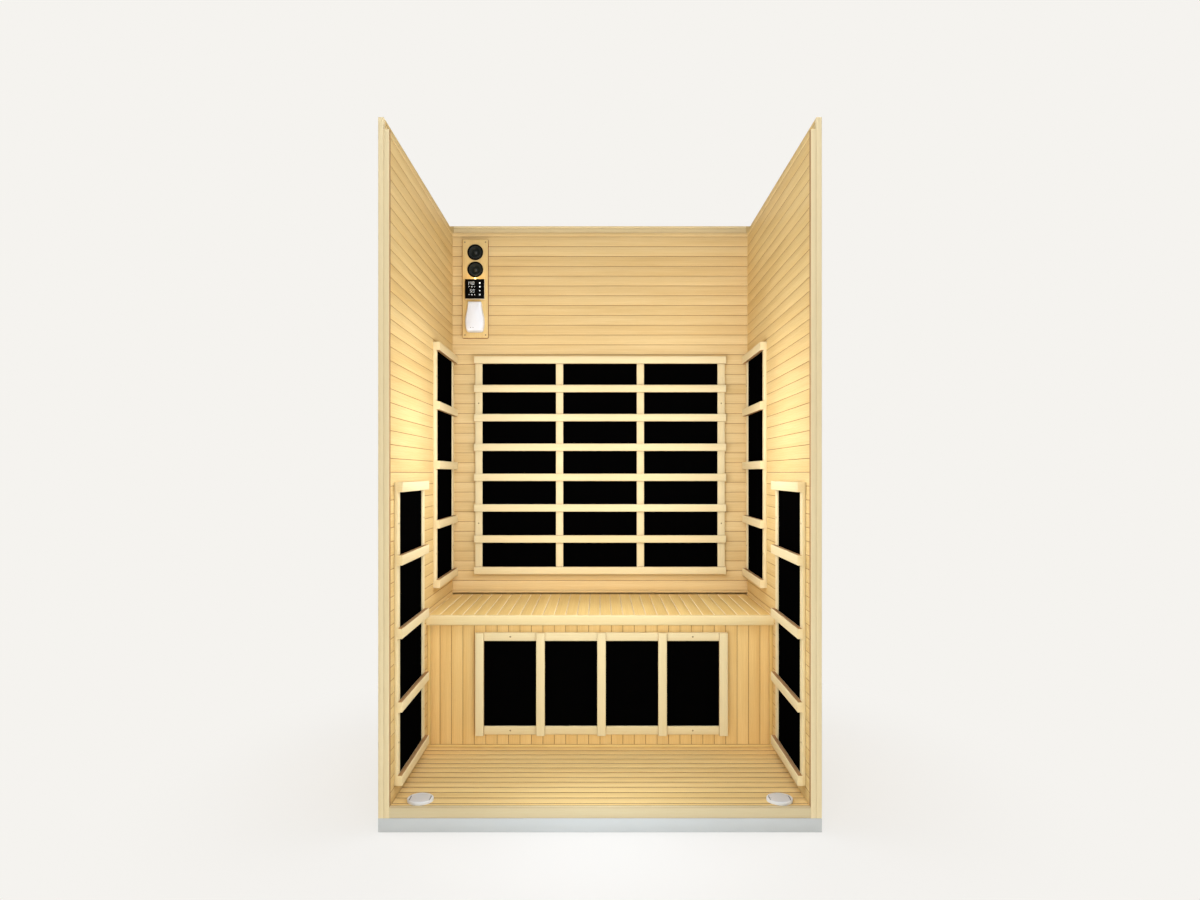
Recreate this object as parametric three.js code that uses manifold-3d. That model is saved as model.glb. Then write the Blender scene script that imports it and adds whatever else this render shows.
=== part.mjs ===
// An infrared sauna cabin shown open at the front and at the top: a base, a boarded floor, two side walls,
// a back wall, a bench, six heaters behind wooden guards, a control board, two floor lights and two latches.
// Millimetres, +X to the right, +Y towards the back wall, +Z up, origin under the middle of the base.
import * as THREE from "three";
import { mergeVertices } from "three/addons/utils/BufferGeometryUtils.js";
import Module from "manifold-3d";

const wasm = await Module();
wasm.setup();

// Cabin
const cabinWidth = 1200;
const cabinDepth = 1000;
const boardPitch = 38;
const grooveWidth = 2.6;
const grooveDepth = 1.8;
const fitGap = 0.3;
const roundSides = 28;

// Base
const plinthHeight = 38;
const plinthRailWidth = 60;

// Side walls
const sideWallHeight = 1896;
const wallSkinThickness = 15;
const roofRebate = 32;
const frontPostThickness = 15;
const frontPostDepth = 16;
const liningThickness = 14;
const shadowGap = 2;
const liningTopBoard = 16.3;

// Back wall
const backWallDepth = 36;
const backLiningThickness = 12;
const backSkinThickness = 12;
const backTopRailHeight = 18;
const backBottomRailHeight = 28;

// Floor
const floorThickness = 28;
const floorFrontRailHeight = 29;
const floorFrontRailDepth = 15;
const floorFirstBoard = 13;
const floorBoardPitch = 39.2;

// Bench
const benchDepth = 484;
const benchHeight = 437;
const benchBoardPitch = 37.8;
const benchSeatThickness = 20;
const benchNosingThickness = 20;
const benchNosingHeight = 32;
const benchPanelThickness = 18;
const benchRearGap = 2;
const benchTrimThickness = 5;
const benchSideTrimWidth = 12.5;
const benchBottomTrimHeight = 9;
const benchCleatWidth = 20;
const benchCleatHeight = 30;

// Heaters and their wooden guards
const guardBarWidth = 28;
const guardUnderThickness = 10;
const guardOverThickness = 13.5;
const guardLap = 1;
const heaterThickness = 5;
const heaterSideGap = 0.5;
const heaterEndInset = 6;

const sideGuardOverhang = 2;
const sideGuardPitch = 203.5;
const sideGuardRails = 5;
const frontGuardSetback = 55.5;
const frontGuardBenchGap = 65.5;
const frontGuardBottom = 38.5;
const rearGuardSetback = 15.5;
const rearGuardBottom = 75.5;

const backGuardCellWidth = 284;
const backGuardColumns = 3;
const backGuardOverhang = 2;
const backGuardRails = 8;
const backGuardPitchGrowth = 1.9;
const backGuardBottom = 79.5;
const backGuardBelowBoard = 71.3;

const calfGuardCellWidth = 172.5;
const calfGuardCellHeight = 281;
const calfGuardCells = 4;
const calfGuardBottom = 42.8;
const calfGuardOffset = 5;

// Control board and what it carries, measured from the middle of the board
const boardWidth = 100;
const boardHeight = 382;
const boardThickness = 11;
const boardCornerRadius = 4;
const boardFromCorner = 40;
const boardBelowTop = 28.2;

const speakerDiameter = 61;
const speakerFlangeHeight = 3;
const speakerFlangeWidth = 4.5;
const speakerWall = 1;
const speakerDepth = 32;
const speakerCylinderDepth = 11.5;
const speakerMagnetDiameter = 34;
const speakerMagnetHeight = 8;
const speakerPoleDiameter = 14;
const speakerConeGap = 0.6;
const speakerConeTravel = 1.5;
const speakerConeThickness = 1.2;
const speakerCapRise = 2.4;
const upperSpeakerUp = 140;
const speakerSpacing = 66.4;

const lampDiameter = 8;
const lampLength = 7;
const lampDome = 2.4;

const displayWidth = 75;
const displayHeight = 76;
const displayDepth = 18;
const displayGlassThickness = 3;
const displayRim = 1.7;
const displayUp = -5;

const ioniserHeight = 117;
const ioniserNeckWidth = 53;
const ioniserBellyWidth = 74;
const ioniserBellyUp = 40;
const ioniserDepth = 28;
const ioniserRound = 5;
const ioniserCornerRadius = 14;
const ioniserUp = -170;

// Push lights in the floor's front corners
const floorLightDiameter = 72;
const floorLightHeight = 8;
const floorLightBehindRail = 1;
const floorLightFromWall = 74;
const floorLightRim = 3;
const floorLightChamfer = 1.5;
const floorLightBase = 1.5;
const floorLightLensWidth = 55;
const floorLightSlit = 1.8;
const floorLightLensThickness = 4;
const floorLightLensRecess = 0.3;

// Toggle latches across the seam between each side wall and the back wall
const latchUp = 942;
const latchPlateThickness = 2;
const latchPlateHeight = 32;
const latchBaseLength = 54;
const latchSeamGap = 4;
const latchPivotFromSeam = 14;
const latchPivotOut = 8;
const latchPinDiameter = 4;
const latchEarThickness = 1.6;
const latchEarRadius = 4.4;
const latchLeverWidth = 14;
const latchLeverNose = 4;
const latchLeverLength = 38;
const latchHandleThickness = 3;
const latchBailArm = 9;
const latchBailWire = 3;
const latchBailSideGap = 0.5;
const latchKeeperLength = 26;
const latchKeeperFlangeFromSeam = 11;
const latchKeeperFlangeThickness = 2;
const latchKeeperFlangeOut = 9.5;

// Places that follow from the sizes above
const halfWidth = cabinWidth / 2;
const frontY = -cabinDepth / 2;
const rearY = cabinDepth / 2;
const backFaceY = rearY - backWallDepth;
const sideTopZ = plinthHeight + sideWallHeight;
const liningTopZ = sideTopZ - roofRebate;
const firstLineZ = liningTopZ - liningTopBoard;
const liningFaceX = halfWidth - wallSkinThickness - liningThickness;
const floorHalfWidth = halfWidth - wallSkinThickness - frontPostThickness;
const floorTopZ = plinthHeight + floorThickness;
const backTopRailZ = liningTopZ - backTopRailHeight;
const backBottomRailZ = plinthHeight + backBottomRailHeight;
const benchFrontY = backFaceY - benchDepth;
const benchPanelY = benchFrontY + benchNosingThickness;
const benchTopZ = floorTopZ + benchHeight;
const benchSeatZ = benchTopZ - benchSeatThickness;
const benchNosingZ = benchTopZ - benchNosingHeight;
const sideGuardWidth = benchFrontY - frontY - frontGuardSetback - frontGuardBenchGap;
const boardX = -liningFaceX + boardFromCorner + boardWidth / 2;
const boardZ = liningTopZ - boardBelowTop - boardHeight / 2;
const speakerBodyRadius = speakerDiameter / 2 - speakerFlangeWidth + speakerWall;

// Finishes
function finish(color, roughness, metalness) {
  return new THREE.MeshStandardMaterial({ color, roughness, metalness });
}
const wallWood = finish(0xdcb87c, 0.55, 0);
const trimWood = finish(0xecd5a2, 0.5, 0);
const floorWood = finish(0xcfa568, 0.55, 0);
const plinthGrey = finish(0xd3d4cf, 0.6, 0);
const heaterBlack = finish(0x0a0a0b, 0.7, 0);
const speakerBlack = finish(0x161616, 0.5, 0);
const conePaper = finish(0x232323, 0.8, 0);
const glassBlack = finish(0x050506, 0.1, 0);
const casePale = finish(0xe6dcc4, 0.5, 0);
const plasticWhite = finish(0xefece6, 0.4, 0);
const lensGrey = finish(0xcfcbc0, 0.35, 0);
const lampBrass = finish(0xe0b75a, 0.3, 0.8);
const latchSteel = finish(0xb9bbbd, 0.35, 0.9);

// A box between its lowest and its highest corner.
function box(low, high) {
  const size = high.map((value, axis) => value - low[axis]);
  const middle = high.map((value, axis) => (value + low[axis]) / 2);
  return new THREE.BoxGeometry(...size).translate(...middle);
}

// A closed geometry as a solid that can be joined or cut.
function solid(geometry) {
  const bare = geometry.clone();
  bare.deleteAttribute("normal");
  bare.deleteAttribute("uv");
  const merged = mergeVertices(bare, 1e-4);
  const vertProperties = new Float32Array(merged.attributes.position.array);
  const triVerts = new Uint32Array(merged.index.array);
  return new wasm.Manifold(new wasm.Mesh({ numProp: 3, vertProperties, triVerts }));
}

// The geometry of a solid.
function geometryOf(shape) {
  const { vertProperties, triVerts } = shape.getMesh();
  const geometry = new THREE.BufferGeometry();
  geometry.setAttribute("position", new THREE.BufferAttribute(vertProperties, 3));
  geometry.setIndex(new THREE.BufferAttribute(triVerts, 1));
  geometry.computeVertexNormals();
  return geometry;
}

function join(geometries) {
  const [first, ...others] = geometries.map(solid);
  return geometryOf(others.reduce((whole, piece) => whole.add(piece), first));
}

function cut(geometry, tools) {
  return geometryOf(tools.map(solid).reduce((whole, tool) => whole.subtract(tool), solid(geometry)));
}

function common(first, second) {
  return geometryOf(solid(first).intersect(solid(second)));
}

// The same piece on the other side of the cabin.
function mirrored(geometry) {
  const other = geometry.index ? geometry.toNonIndexed() : geometry.clone();
  other.scale(-1, 1, 1);
  const place = other.attributes.position;
  const corner = new THREE.Vector3();
  const swapped = new THREE.Vector3();
  for (let first = 0; first < place.count; first += 3) {
    corner.fromBufferAttribute(place, first + 1);
    swapped.fromBufferAttribute(place, first + 2);
    place.setXYZ(first + 1, ...swapped);
    place.setXYZ(first + 2, ...corner);
  }
  return other;
}

// A round piece about the Z axis from points of radius and height, from the axis below to the axis above.
function turned(points) {
  const outline = points.map(([radius, height]) => new THREE.Vector2(radius, height));
  return new THREE.LatheGeometry(outline, roundSides).rotateX(Math.PI / 2);
}

function disc(diameter, low, high) {
  const radius = diameter / 2;
  return turned([[0, low], [radius, low], [radius, high], [0, high]]);
}

// Where the joints between boards fall, every pitch from the first one.
function boardLines(first, low, high, pitch) {
  const lines = [];
  const start = first - Math.floor((first - low - grooveWidth) / pitch) * pitch;
  for (let line = start; line < high - grooveWidth; line += pitch) {
    lines.push(line);
  }
  return lines;
}

const axisUnit = { x: [1, 0, 0], y: [0, 1, 0], z: [0, 0, 1] };

// A panel of boards: a box whose face on one side has a groove at each joint between two boards.
// stack is the axis across the boards, face the axis that the grooved side looks along, and its sign.
function boarded(low, high, { stack, face, sign, first, pitch = boardPitch }) {
  const axes = ["x", "y", "z"];
  const run = axes.find((axis) => axis !== stack && axis !== face);
  const from = Object.fromEntries(axes.map((axis, index) => [axis, low[index]]));
  const to = Object.fromEntries(axes.map((axis, index) => [axis, high[index]]));
  const width = to[stack] - from[stack];
  const thickness = to[face] - from[face];
  const outline = [[0, 0], [width, 0], [width, thickness]];
  for (const line of boardLines(first, from[stack], to[stack], pitch).reverse()) {
    const middle = line - from[stack];
    outline.push([middle + grooveWidth / 2, thickness]);
    outline.push([middle, thickness - grooveDepth]);
    outline.push([middle - grooveWidth / 2, thickness]);
  }
  outline.push([0, thickness]);
  const shape = new THREE.Shape(outline.map(([along, out]) => new THREE.Vector2(along, out)));
  const panel = new THREE.ExtrudeGeometry(shape, { depth: to[run] - from[run], bevelEnabled: false });
  const stackUnit = new THREE.Vector3(...axisUnit[stack]);
  const faceUnit = new THREE.Vector3(...axisUnit[face]).multiplyScalar(sign);
  const runUnit = new THREE.Vector3().crossVectors(stackUnit, faceUnit);
  const start = { ...from, [face]: sign > 0 ? from[face] : to[face] };
  start[run] = runUnit[run] > 0 ? from[run] : to[run];
  const placing = new THREE.Matrix4().makeBasis(stackUnit, faceUnit, runUnit);
  return panel.applyMatrix4(placing.setPosition(start.x, start.y, start.z));
}

// Pieces drawn flat, with X across, Y up and Z out of the wall, are set on a wall by one of these.
const unitX = new THREE.Vector3(1, 0, 0);
const unitY = new THREE.Vector3(0, 1, 0);
const unitZ = new THREE.Vector3(0, 0, 1);

function onBackFacing(geometry, x, y, z) {
  const placing = new THREE.Matrix4().makeBasis(unitX, unitZ, unitY.clone().negate());
  return geometry.clone().applyMatrix4(placing.setPosition(x, y, z));
}

function onRightWall(geometry, y, z) {
  const placing = new THREE.Matrix4().makeBasis(unitY.clone().negate(), unitZ, unitX.clone().negate());
  return geometry.clone().applyMatrix4(placing.setPosition(liningFaceX, y, z));
}

const cabin = new THREE.Group();
cabin.name = "infrared_sauna_cabin";

function assembly(name) {
  const group = new THREE.Group();
  group.name = name;
  cabin.add(group);
  return group;
}

function add(group, name, geometry, material) {
  const mesh = new THREE.Mesh(geometry, material);
  mesh.name = name;
  group.add(mesh);
}

// A piece of the right-hand side and its twin on the left.
function addPair(group, name, geometry, material) {
  add(group, `right_${name}`, geometry, material);
  add(group, `left_${name}`, mirrored(geometry), material);
}

// Base: four rails under the edges of the cabin
const base = assembly("base");
const plinthInnerX = halfWidth - plinthRailWidth;
const plinthInnerY = rearY - plinthRailWidth;
add(
  base,
  "plinth_front_rail",
  box([-halfWidth, frontY, 0], [halfWidth, -plinthInnerY, plinthHeight]),
  plinthGrey,
);
add(
  base,
  "plinth_rear_rail",
  box([-halfWidth, plinthInnerY, 0], [halfWidth, rearY, plinthHeight]),
  plinthGrey,
);
addPair(
  base,
  "plinth_rail",
  box([plinthInnerX, -plinthInnerY, 0], [halfWidth, plinthInnerY, plinthHeight]),
  plinthGrey,
);

// Floor: boards laid from side to side behind a front rail
const floor = assembly("floor");
const floorBoardsY = frontY + floorFrontRailDepth + shadowGap;
add(
  floor,
  "floor_boards",
  boarded(
    [-floorHalfWidth, floorBoardsY, plinthHeight],
    [floorHalfWidth, backFaceY, floorTopZ],
    { stack: "y", face: "z", sign: 1, first: floorBoardsY + floorFirstBoard, pitch: floorBoardPitch },
  ),
  floorWood,
);
add(
  floor,
  "floor_front_rail",
  box(
    [-floorHalfWidth, frontY, plinthHeight],
    [floorHalfWidth, frontY + floorFrontRailDepth, plinthHeight + floorFrontRailHeight],
  ),
  trimWood,
);

// Side walls: an outer skin that rises past the roof line, a lining and a front post
const walls = assembly("side_walls");
const liningBackX = liningFaceX + liningThickness;
addPair(
  walls,
  "wall_skin",
  boarded(
    [liningBackX, frontY, plinthHeight],
    [halfWidth, backFaceY, sideTopZ],
    { stack: "z", face: "x", sign: 1, first: firstLineZ },
  ),
  wallWood,
);
addPair(
  walls,
  "wall_lining",
  boarded(
    [liningFaceX, frontY + frontPostDepth + shadowGap, plinthHeight],
    [liningBackX, backFaceY, liningTopZ],
    { stack: "z", face: "x", sign: -1, first: firstLineZ },
  ),
  wallWood,
);
addPair(
  walls,
  "front_post",
  box([floorHalfWidth, frontY, plinthHeight], [liningBackX, frontY + frontPostDepth, liningTopZ]),
  trimWood,
);

// Back wall: posts and rails round a lining and a skin, with a hollow between them. The skin rises past the
// roof line as the side skins do, and the posts carry that rim round the corners.
const back = assembly("back_wall");
const backLiningBackY = backFaceY + backLiningThickness;
const backSkinY = rearY - backSkinThickness;
addPair(
  back,
  "back_post",
  join([
    box([floorHalfWidth, backFaceY, plinthHeight], [halfWidth, rearY, liningTopZ]),
    box([liningBackX, backFaceY, plinthHeight], [halfWidth, rearY, sideTopZ]),
    box([floorHalfWidth, backSkinY, plinthHeight], [halfWidth, rearY, sideTopZ]),
  ]),
  trimWood,
);
add(
  back,
  "back_top_rail",
  box([-floorHalfWidth, backLiningBackY, backTopRailZ], [floorHalfWidth, backSkinY, liningTopZ]),
  trimWood,
);
add(
  back,
  "back_bottom_rail",
  box([-floorHalfWidth, backFaceY, plinthHeight], [floorHalfWidth, rearY, backBottomRailZ]),
  trimWood,
);
add(
  back,
  "back_wall_skin",
  boarded(
    [-floorHalfWidth, backSkinY, backBottomRailZ],
    [floorHalfWidth, rearY, sideTopZ],
    { stack: "z", face: "y", sign: 1, first: firstLineZ },
  ),
  wallWood,
);

// The speakers' bodies pass through the board and the lining.
const speakerHoleDiameter = 2 * (speakerBodyRadius + fitGap) / Math.cos(Math.PI / roundSides);
const speakerUps = [upperSpeakerUp, upperSpeakerUp - speakerSpacing];
const speakerHoles = speakerUps.map((up) => {
  const hole = disc(speakerHoleDiameter, -backWallDepth + backSkinThickness, boardThickness * 2);
  return onBackFacing(hole, boardX, backFaceY, boardZ + up);
});
add(
  back,
  "back_wall_lining",
  cut(
    boarded(
      [-floorHalfWidth, backFaceY, backBottomRailZ],
      [floorHalfWidth, backLiningBackY, liningTopZ],
      { stack: "z", face: "y", sign: -1, first: firstLineZ },
    ),
    speakerHoles,
  ),
  wallWood,
);

// Bench: seat boards laid front to back, a nosing, a boarded front and the cleats that carry the seat
const bench = assembly("bench");
const benchRearY = backFaceY - benchRearGap;
add(
  bench,
  "bench_seat",
  boarded(
    [-liningFaceX, benchPanelY, benchSeatZ],
    [liningFaceX, benchRearY, benchTopZ],
    { stack: "x", face: "z", sign: 1, first: 0, pitch: benchBoardPitch },
  ),
  wallWood,
);
add(
  bench,
  "bench_nosing",
  box([-liningFaceX, benchFrontY, benchNosingZ], [liningFaceX, benchPanelY, benchTopZ]),
  trimWood,
);
add(
  bench,
  "bench_front_panel",
  boarded(
    [-liningFaceX, benchPanelY, floorTopZ],
    [liningFaceX, benchPanelY + benchPanelThickness, benchSeatZ],
    { stack: "x", face: "y", sign: -1, first: 0, pitch: benchBoardPitch },
  ),
  wallWood,
);
const benchTrimY = benchPanelY - benchTrimThickness;
const benchBottomTrimZ = floorTopZ + benchBottomTrimHeight;
add(
  bench,
  "bench_bottom_trim",
  box([-liningFaceX, benchTrimY, floorTopZ], [liningFaceX, benchPanelY, benchBottomTrimZ]),
  trimWood,
);
addPair(
  bench,
  "bench_trim",
  box(
    [liningFaceX - benchSideTrimWidth, benchTrimY, benchBottomTrimZ],
    [liningFaceX, benchPanelY, benchNosingZ],
  ),
  trimWood,
);
const benchCleatX = liningFaceX - benchCleatWidth;
const benchCleatZ = benchSeatZ - benchCleatHeight;
const benchCleatY = benchPanelY + benchPanelThickness;
addPair(
  bench,
  "bench_cleat",
  box([benchCleatX, benchCleatY, benchCleatZ], [liningFaceX, benchRearY, benchSeatZ]),
  wallWood,
);
add(
  bench,
  "bench_rear_cleat",
  box([-benchCleatX, backFaceY - benchCleatWidth, benchCleatZ], [benchCleatX, backFaceY, benchSeatZ]),
  wallWood,
);

// Heaters: a black panel flat on the wall behind a guard of crossed bars
const heaters = assembly("heaters");

// A guard drawn flat: bars along Y against the wall, the middle ones lifted clear of the heater,
// and bars along X over them.
function guard({ edgeBars, liftedBars, overBars, overReach }) {
  const half = guardBarWidth / 2;
  const low = Math.min(...overBars) - half;
  const high = Math.max(...overBars) + half;
  const lifted = heaterThickness + fitGap;
  const overLow = guardUnderThickness - guardLap;
  const overHigh = guardUnderThickness + guardOverThickness;
  const bars = [];
  for (const x of edgeBars) {
    bars.push(box([x - half, low, 0], [x + half, high, guardUnderThickness]));
  }
  for (const x of liftedBars) {
    bars.push(box([x - half, low, lifted], [x + half, high, guardUnderThickness]));
  }
  for (const y of overBars) {
    bars.push(box([-overReach, y - half, overLow], [overReach, y + half, overHigh]));
  }
  return join(bars);
}

// The heater behind a guard, between its edge bars.
function heater({ edgeBars, overBars }) {
  const halfAcross = Math.max(...edgeBars) - guardBarWidth / 2 - heaterSideGap;
  const low = Math.min(...overBars) - guardBarWidth / 2 + heaterEndInset;
  const high = Math.max(...overBars) + guardBarWidth / 2 - heaterEndInset;
  return box([-halfAcross, low, 0], [halfAcross, high, heaterThickness]);
}

// Evenly spaced places, starting half a bar above zero.
function evenBars(count, pitch) {
  return Array.from({ length: count }, (_, index) => guardBarWidth / 2 + index * pitch);
}

const sideEdge = sideGuardWidth / 2 - sideGuardOverhang - guardBarWidth / 2;
const sideBars = {
  edgeBars: [-sideEdge, sideEdge],
  liftedBars: [],
  overBars: evenBars(sideGuardRails, sideGuardPitch),
  overReach: sideGuardWidth / 2,
};
const sidePlaces = [
  ["front", frontY + frontGuardSetback + sideGuardWidth / 2, floorTopZ + frontGuardBottom],
  ["rear", backFaceY - rearGuardSetback - sideGuardWidth / 2, benchTopZ + rearGuardBottom],
];
for (const [name, y, z] of sidePlaces) {
  addPair(heaters, `${name}_heater_panel`, onRightWall(heater(sideBars), y, z), heaterBlack);
  addPair(heaters, `${name}_heater_guard`, onRightWall(guard(sideBars), y, z), trimWood);
}

// On the back wall the rails stand a little closer together towards the top.
const backPitch = backGuardCellWidth + guardBarWidth;
const backStiles = Array.from(
  { length: backGuardColumns + 1 },
  (_, index) => (index - backGuardColumns / 2) * backPitch,
);
const backGuardZ = benchTopZ + backGuardBottom;
const backGuardHeight = boardZ - boardHeight / 2 - backGuardBelowBoard - backGuardZ;
const backRailGaps = backGuardRails - 1;
const backGrowthTotal = backGuardPitchGrowth * backRailGaps * (backRailGaps - 1) / 2;
const backTopPitch = (backGuardHeight - guardBarWidth - backGrowthTotal) / backRailGaps;
const backRails = [guardBarWidth / 2];
for (let gap = backRailGaps - 1; gap >= 0; gap -= 1) {
  backRails.push(backRails.at(-1) + backTopPitch + gap * backGuardPitchGrowth);
}
const backBars = {
  edgeBars: [backStiles[0], backStiles.at(-1)],
  liftedBars: backStiles.slice(1, -1),
  overBars: backRails,
  overReach: backStiles.at(-1) + guardBarWidth / 2 + backGuardOverhang,
};
const onBackWall = (geometry) => onBackFacing(geometry, 0, backFaceY, backGuardZ);
add(heaters, "back_heater_panel", onBackWall(heater(backBars)), heaterBlack);
add(heaters, "back_heater_guard", onBackWall(guard(backBars)), trimWood);

// Under the bench the guard is turned a quarter: its stiles lie over its rails.
const calfPitch = calfGuardCellWidth + guardBarWidth;
const calfEdge = (calfGuardCellHeight + guardBarWidth) / 2;
const calfBars = {
  edgeBars: [-calfEdge, calfEdge],
  liftedBars: [],
  overBars: evenBars(calfGuardCells + 1, calfPitch),
  overReach: calfEdge + guardBarWidth / 2,
};
const calfWidth = calfGuardCells * calfPitch + guardBarWidth;
const calfZ = floorTopZ + calfGuardBottom + calfBars.overReach;
function onBenchFront(geometry) {
  return onBackFacing(geometry.rotateZ(-Math.PI / 2), calfGuardOffset - calfWidth / 2, benchPanelY, calfZ);
}
add(heaters, "calf_heater_panel", onBenchFront(heater(calfBars)), heaterBlack);
add(heaters, "calf_heater_guard", onBenchFront(guard(calfBars)), trimWood);

// Control board: speakers, a lamp, a display and an ioniser on one board
const control = assembly("control_board");
const boardFrontY = backFaceY - boardThickness;
const onBoard = (geometry, up) => onBackFacing(geometry, boardX, boardFrontY, boardZ + up);

// A rectangle with round corners, centred.
function roundedRectangle(width, height, radius) {
  const shape = new THREE.Shape();
  const right = width / 2 - radius;
  const top = height / 2 - radius;
  shape.absarc(right, top, radius, 0, Math.PI / 2);
  shape.absarc(-right, top, radius, Math.PI / 2, Math.PI);
  shape.absarc(-right, -top, radius, Math.PI, 1.5 * Math.PI);
  shape.absarc(right, -top, radius, 1.5 * Math.PI, 2 * Math.PI);
  return shape;
}

const boardPlate = new THREE.ExtrudeGeometry(
  roundedRectangle(boardWidth, boardHeight, boardCornerRadius),
  { depth: boardThickness, bevelEnabled: false, curveSegments: 5 },
);
add(
  control,
  "control_board",
  cut(onBackFacing(boardPlate, boardX, backFaceY, boardZ), speakerHoles),
  trimWood,
);

// Speaker: a basket with a flange on the board, and a cone whose neck runs on the magnet's pole
const coneMiddle = speakerFlangeHeight - speakerDepth / 2;
const basketStep = -speakerCylinderDepth;
const magnetTop = speakerMagnetHeight - speakerDepth;
const openRadius = speakerBodyRadius - speakerWall;
const poleRadius = speakerPoleDiameter / 2;
const poleTop = coneMiddle - speakerConeTravel;
const basket = turned([
  [0, -speakerDepth],
  [speakerMagnetDiameter / 2, -speakerDepth],
  [speakerMagnetDiameter / 2, magnetTop],
  [speakerBodyRadius, basketStep],
  [speakerBodyRadius, 0],
  [speakerDiameter / 2, 0],
  [speakerDiameter / 2, speakerFlangeHeight],
  [openRadius, speakerFlangeHeight],
  [openRadius, basketStep + speakerWall / 2],
  [speakerMagnetDiameter / 2 - speakerWall, magnetTop + speakerWall],
  [poleRadius, magnetTop + speakerWall],
  [poleRadius, poleTop],
  [0, poleTop],
]);
const coneRadius = openRadius - speakerConeGap;
const neckRadius = poleRadius + fitGap;
const neckOuter = neckRadius + speakerConeThickness;
const neckEnd = magnetTop + speakerWall + speakerConeTravel + speakerConeThickness;
const capInner = poleTop + speakerConeTravel + speakerConeThickness;
const capFront = capInner + speakerConeThickness;
const cone = turned([
  [0, capInner],
  [neckRadius, capInner],
  [neckRadius, neckEnd],
  [neckOuter, neckEnd],
  [neckOuter, capInner - speakerConeThickness],
  [coneRadius, -speakerConeTravel - speakerConeThickness],
  [coneRadius, -speakerConeTravel],
  [neckOuter + speakerCapRise, capFront],
  [neckOuter / 2, capFront + speakerCapRise * Math.cos(Math.PI / 6)],
  [0, capFront + speakerCapRise],
]);
["upper", "lower"].forEach((name, index) => {
  add(control, `${name}_speaker_frame`, onBoard(basket, speakerUps[index]), speakerBlack);
  add(control, `${name}_speaker_cone`, onBoard(cone, speakerUps[index]), conePaper);
});

// Lamp: a small domed stud between the lower speaker and the display
const lampRadius = lampDiameter / 2;
const lamp = turned([
  [0, 0],
  [lampRadius, 0],
  [lampRadius, lampLength - lampDome],
  [lampRadius * Math.cos(Math.PI / 6), lampLength - lampDome / 2],
  [lampRadius / 2, lampLength - lampDome * (1 - Math.cos(Math.PI / 6))],
  [0, lampLength],
]);
const lampUp = (speakerUps[1] - speakerDiameter / 2 + displayUp + displayHeight / 2) / 2;
add(control, "reading_lamp", onBoard(lamp, lampUp), lampBrass);

// Display: a pale case with a black glass let into its front
const glassWidth = displayWidth - 2 * displayRim;
const glassHeight = displayHeight - 2 * displayRim;
const glassLow = displayDepth - displayGlassThickness;
const displayCase = cut(
  box([-displayWidth / 2, -displayHeight / 2, 0], [displayWidth / 2, displayHeight / 2, displayDepth]),
  [
    box(
      [-glassWidth / 2, -glassHeight / 2, glassLow],
      [glassWidth / 2, glassHeight / 2, displayDepth * 2],
    ),
  ],
);
const displayGlass = box(
  [-glassWidth / 2 + fitGap, -glassHeight / 2 + fitGap, glassLow],
  [glassWidth / 2 - fitGap, glassHeight / 2 - fitGap, displayDepth],
);
add(control, "display_case", onBoard(displayCase, displayUp), casePale);
add(control, "display_glass", onBoard(displayGlass, displayUp), glassBlack);

// Ioniser: a white moulded case with a narrow neck, a wide belly and round lower corners
const neckHalf = ioniserNeckWidth / 2 - ioniserRound;
const bellyHalf = ioniserBellyWidth / 2 - ioniserRound;
const ioniserLow = ioniserRound;
const ioniserHigh = ioniserHeight - ioniserRound;
const cornerReach = ioniserCornerRadius - ioniserRound;
const ioniserOutline = new THREE.Shape();
ioniserOutline.moveTo(-bellyHalf + cornerReach, ioniserLow);
ioniserOutline.lineTo(bellyHalf - cornerReach, ioniserLow);
ioniserOutline.quadraticCurveTo(bellyHalf - cornerReach / 4, ioniserLow, bellyHalf, ioniserBellyUp);
ioniserOutline.bezierCurveTo(
  bellyHalf,
  ioniserBellyUp + ioniserHeight / 4,
  neckHalf,
  ioniserHigh - ioniserHeight / 4,
  neckHalf,
  ioniserHigh,
);
ioniserOutline.lineTo(-neckHalf, ioniserHigh);
ioniserOutline.bezierCurveTo(
  -neckHalf,
  ioniserHigh - ioniserHeight / 4,
  -bellyHalf,
  ioniserBellyUp + ioniserHeight / 4,
  -bellyHalf,
  ioniserBellyUp,
);
ioniserOutline.quadraticCurveTo(
  -bellyHalf + cornerReach / 4,
  ioniserLow,
  -bellyHalf + cornerReach,
  ioniserLow,
);
const ioniserSolid = new THREE.ExtrudeGeometry(ioniserOutline, {
  depth: ioniserDepth - 2 * ioniserRound,
  curveSegments: 8,
  bevelThickness: ioniserRound,
  bevelSize: ioniserRound,
  bevelSegments: 3,
}).translate(0, 0, ioniserRound);
add(control, "ioniser_case", onBoard(ioniserSolid, ioniserUp), plasticWhite);

// Floor lights: a round white body with a lens that is pressed down to switch it
const lights = assembly("floor_lights");
const lightRadius = floorLightDiameter / 2;
const wellDiameter = floorLightDiameter - 2 * floorLightRim;
const lightBody = turned([
  [0, 0],
  [lightRadius, 0],
  [lightRadius, floorLightHeight - floorLightChamfer],
  [lightRadius - floorLightChamfer, floorLightHeight],
  [0, floorLightHeight],
]);
const wellHalf = floorLightLensWidth / 2 + floorLightSlit;
const lensHalf = floorLightLensWidth / 2;
const well = common(
  disc(wellDiameter, floorLightBase, floorLightHeight * 2),
  box([-wellHalf, -lightRadius, 0], [wellHalf, lightRadius, floorLightHeight * 2]),
);
const lensTop = floorLightHeight - floorLightLensRecess;
const lens = common(
  disc(wellDiameter - 2 * fitGap, lensTop - floorLightLensThickness, lensTop),
  box([-lensHalf, -lightRadius, 0], [lensHalf, lightRadius, floorLightHeight]),
);
const lightY = frontY + floorFrontRailDepth + floorLightBehindRail + lightRadius;
const lightPlace = [liningFaceX - floorLightFromWall, lightY, floorTopZ];
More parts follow.
